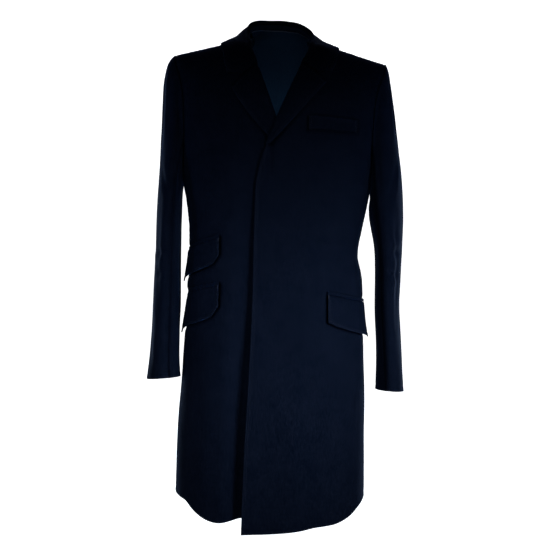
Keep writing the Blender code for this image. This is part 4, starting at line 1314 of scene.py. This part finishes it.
front_edge = line_inside("front_left", "first", EDGE_INSET, ON_CLOTH)
edge_paths = [part_of(front_edge, front_edge[0][:, 2] < BREAK_HEIGHT),
              line_inside("collar_fall", "last", EDGE_INSET, ON_CLOTH)]
edge_paths += [line_inside("lapel_" + side, way, EDGE_INSET, ON_CLOTH)
               for _, side in SIDES for way in ("last", "top")]
tack_paths = []
for flap in [node for node in PIECES if node.startswith("flap")]:
    edge_paths += [line_inside(flap, way, FLAP_INSET, ON_CLOTH)
                   for way in ("first", "bottom", "last")]
    tack_paths += [start_of(line_inside(flap, way, TACK_INSET, ON_CLOTH, TACK_TRIM), TACK_LONG)
                   for way in ("first", "last")]
welt_paths = [line_inside("welt_breast_left", way, inset, ON_CLOTH, WELT_TRIM)
              for way in ("first", "last") for inset in WELT_INSETS]
fell_paths = [line_inside("lining_back_neck", "top", FELL_INSET, INSIDE_LINING)]
piping_paths = [line_inside("lining_back_neck", "top", PIPING_INSET, INSIDE_LINING)]

# Each kind of stitching: its paths, its pitch, and the length, radius, slant and seed of a stitch
STITCHING = {
    "edge_stitches": (edge_paths, 0.0052, 0.0017, 0.00032, 0.0, 3),
    "tacks": (tack_paths, 0.0008, 0.0026, 0.00034, math.pi / 2, 5),
    "welt_stitches": (welt_paths, 0.0026, 0.0018, 0.00030, 0.0, 7),
    "felling_stitches": (fell_paths, 0.0030, 0.0024, 0.00030, 0.9, 11),
}
for name, (paths, *sizes) in STITCHING.items():
    named = dict(zip(("Pitch", "Length", "Radius", "Slant", "Seed"), sizes))
    follow(name, stitches, paths, thread, **named)
follow("neck_piping", piping, piping_paths, satin, Radius=0.0010, Step=0.0020, Sides=10)

# %% [markdown]
# Inside a coat the turned-in edges of the armhole seams are bound together into a soft roll. It is
# a round of the coat's own cloth behind each armhole edge, and it also closes the seam to the
# light, where one looks through the neck at the seam from inside.

# %% The bound armholes
UNDERARM = -0.290
ROLL_RADIUS, ROLL_BEHIND = 0.0028, 0.0012
armhole_paths = []
for node in PIECES:
    if node.startswith(("front", "back")):
        path = line_inside(node, "last", 0.0, -(CLOTH + ROLL_BEHIND), 0.0)
        armhole_paths.append(part_of(path, path[0][:, 2] > UNDERARM))
follow("armhole_binding", piping, armhole_paths, wool, Radius=ROLL_RADIUS, Step=0.0030, Sides=10)

# %% [markdown]
# ## Light
#
# Near-black cloth shows its form only by small differences, so the light is what makes or breaks
# this coat. The studio is pale all round, but its ceiling gives almost nothing, which keeps the
# collar and the shoulders nearly black. Two narrow soft boxes at the wearer's left light the
# middle of the coat and the skirt, and fade out before the collar and the sleeves. A weaker one
# fills in from the other side. Behind each side stands a bluish one that draws the rim, each
# sleeve has a weak blue one of its own, and a small lamp inside shows the lining at the neck.
#
# The world is two things at once: what the camera sees behind the floor is a pale wall, and what
# the cloth gets from it is a dim blue that fades upwards.

# %% Light
LOW_ROOM, HIGH_ROOM = 0.24, 0.010
FADE_FROM, FADE_TO = -0.12, 0.20 # of the room's glow: the way up of the ray
ROOM_BLUE = (0.28, 0.55, 1.0)
PALE_WALL = 0.96
FLOOR_GLOW = 0.88
FLOOR_DULL, FLOOR_PALE, FLOOR_GRAIN = (0.86, 0.86, 0.87), (0.90, 0.90, 0.90), 3.0
WHITE, RIM_BLUE, SLEEVE_BLUE = (1.0, 1.0, 1.0), (0.60, 0.80, 1.0), (0.30, 0.62, 1.0)
SKIRT, WAIST = (-0.03, 0.0, -0.80), (-0.05, 0.0, -0.54)

# Each soft box: where it stands, what it is aimed at, its size, watts, spread in degrees, colour
SOFTBOXES = {
    "key_low": ((1.50, -1.50, -0.25), SKIRT, (0.4, 0.4), 2.3, 21, WHITE),
    "key_high": ((1.30, -1.70, 0.05), WAIST, (0.4, 0.4), 2.3, 18, WHITE),
    "fill": ((-1.6, -1.6, -0.45), (0.0, 0.0, -0.66), (0.4, 0.6), 1.25, 24, WHITE),
}
for hand, side in SIDES:
    SOFTBOXES["rim_" + side] = ((1.55 * hand, 2.1, -0.80), SKIRT, (0.5, 0.9), 34, 180, RIM_BLUE)
    SOFTBOXES["sleeve_" + side] = ((1.9 * hand, -0.50, -0.20), (0.235 * hand, 0.01, -0.30),
                                   (0.1, 0.5), 0.34, 11, SLEEVE_BLUE)
SOFTBOXES["inside"] = ((0.0, -0.045, -0.27), (0.0, 0.11, -0.13), (0.08, 0.04), 0.07, 80, WHITE)


def softbox(name, place, target, size, watts, spread, tint):
    data = bpy.data.lights.new(name, "AREA")
    data.shape, data.size, data.size_y, data.energy = "RECTANGLE", size[0], size[1], watts
    data.spread, data.color = math.radians(spread), tint
    lamp = linked(name, data)
    lamp.location = place
    lamp.rotation_mode = "QUATERNION"
    lamp.rotation_quaternion = (Vector(target) - Vector(place)).to_track_quat("-Z", "Y")
    lamp.visible_camera = False


def make_room():
    world = bpy.data.worlds.new("room")
    bpy.context.scene.world = world
    world.use_nodes = True
    room = Nodes(world.node_tree)
    way = room.add("ShaderNodeTexCoord", output="Generated")
    up = room.add("ShaderNodeSeparateXYZ", {0: way}, "Z")
    glow = room.add("ShaderNodeMapRange", {"Value": up, "From Min": FADE_FROM, "From Max": FADE_TO,
                                           "To Min": LOW_ROOM, "To Max": HIGH_ROOM})
    seen = room.add("ShaderNodeLightPath", output="Is Camera Ray")
    colour = room.add("ShaderNodeMix", {"Factor": seen, 6: (*ROOM_BLUE, 1.0), 7: (*WHITE, 1.0)}, 2,
                      data_type="RGBA")
    background = room.tree.nodes["Background"]
    room.feed(background.inputs["Color"], colour)
    room.feed(background.inputs["Strength"], seen * PALE_WALL + (1 - seen) * glow)


def paint_floor():
    paint = Finish("floor_paint")
    grain = paint.noise(paint.place(), FLOOR_GRAIN)
    floor.data.materials.append(paint.shade(
        Base_Color=paint.mix(grain, FLOOR_DULL, FLOOR_PALE), Roughness=0.9,
        Specular_IOR_Level=0.1, Emission_Color=(*WHITE, 1.0), Emission_Strength=FLOOR_GLOW))


make_room()
for name, box in SOFTBOXES.items():
    softbox(name, *box)
paint_floor()
bpy.context.scene.view_settings.view_transform = "Standard"

# %% [markdown]
# ## The coat as one body, and the cloth's sizes
#
# The whole coat is one body, so every piece rides on `root`. For each cloth the size it was cut
# to is printed: the longest way along its rows and columns, and its own flat area. A pocket's jet
# is a strip too narrow to be a sheet by itself, so it goes with its flap.

# %% The cloth's cut sizes
def cut_of(grid):
    """Width, length and area of the flat piece that a sheet was cut from."""
    u, v = flat_lengths(grid)
    a, b, c, d = grid[:-1, :-1], grid[1:, :-1], grid[1:, 1:], grid[:-1, 1:]
    area = (np.linalg.norm(np.cross(b - a, c - a), axis=2)
            + np.linalg.norm(np.cross(c - a, d - a), axis=2)).sum() / 2
    return float(u[:, -1].max()), float(v[-1].max()), float(area)


for node, piece in dressed.items():
    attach(piece, "root")
    if node.startswith("jet"):
        continue
    width, length, area = cut_of(finer(sheets[node][0], for_kind(CELLS, node)))
    jets = [dressed["jet" + node[4:]]] if node.startswith("flap") else []
    print(f"{node:20s} {1000 * width:5.0f} x {1000 * length:5.0f} mm, {1e4 * area:6.0f} cm2")

# %% [markdown]
# Last, the view layer is brought up to date.

# %% Bringing the view layer up to date
bpy.context.view_layer.update()

# %% [markdown]
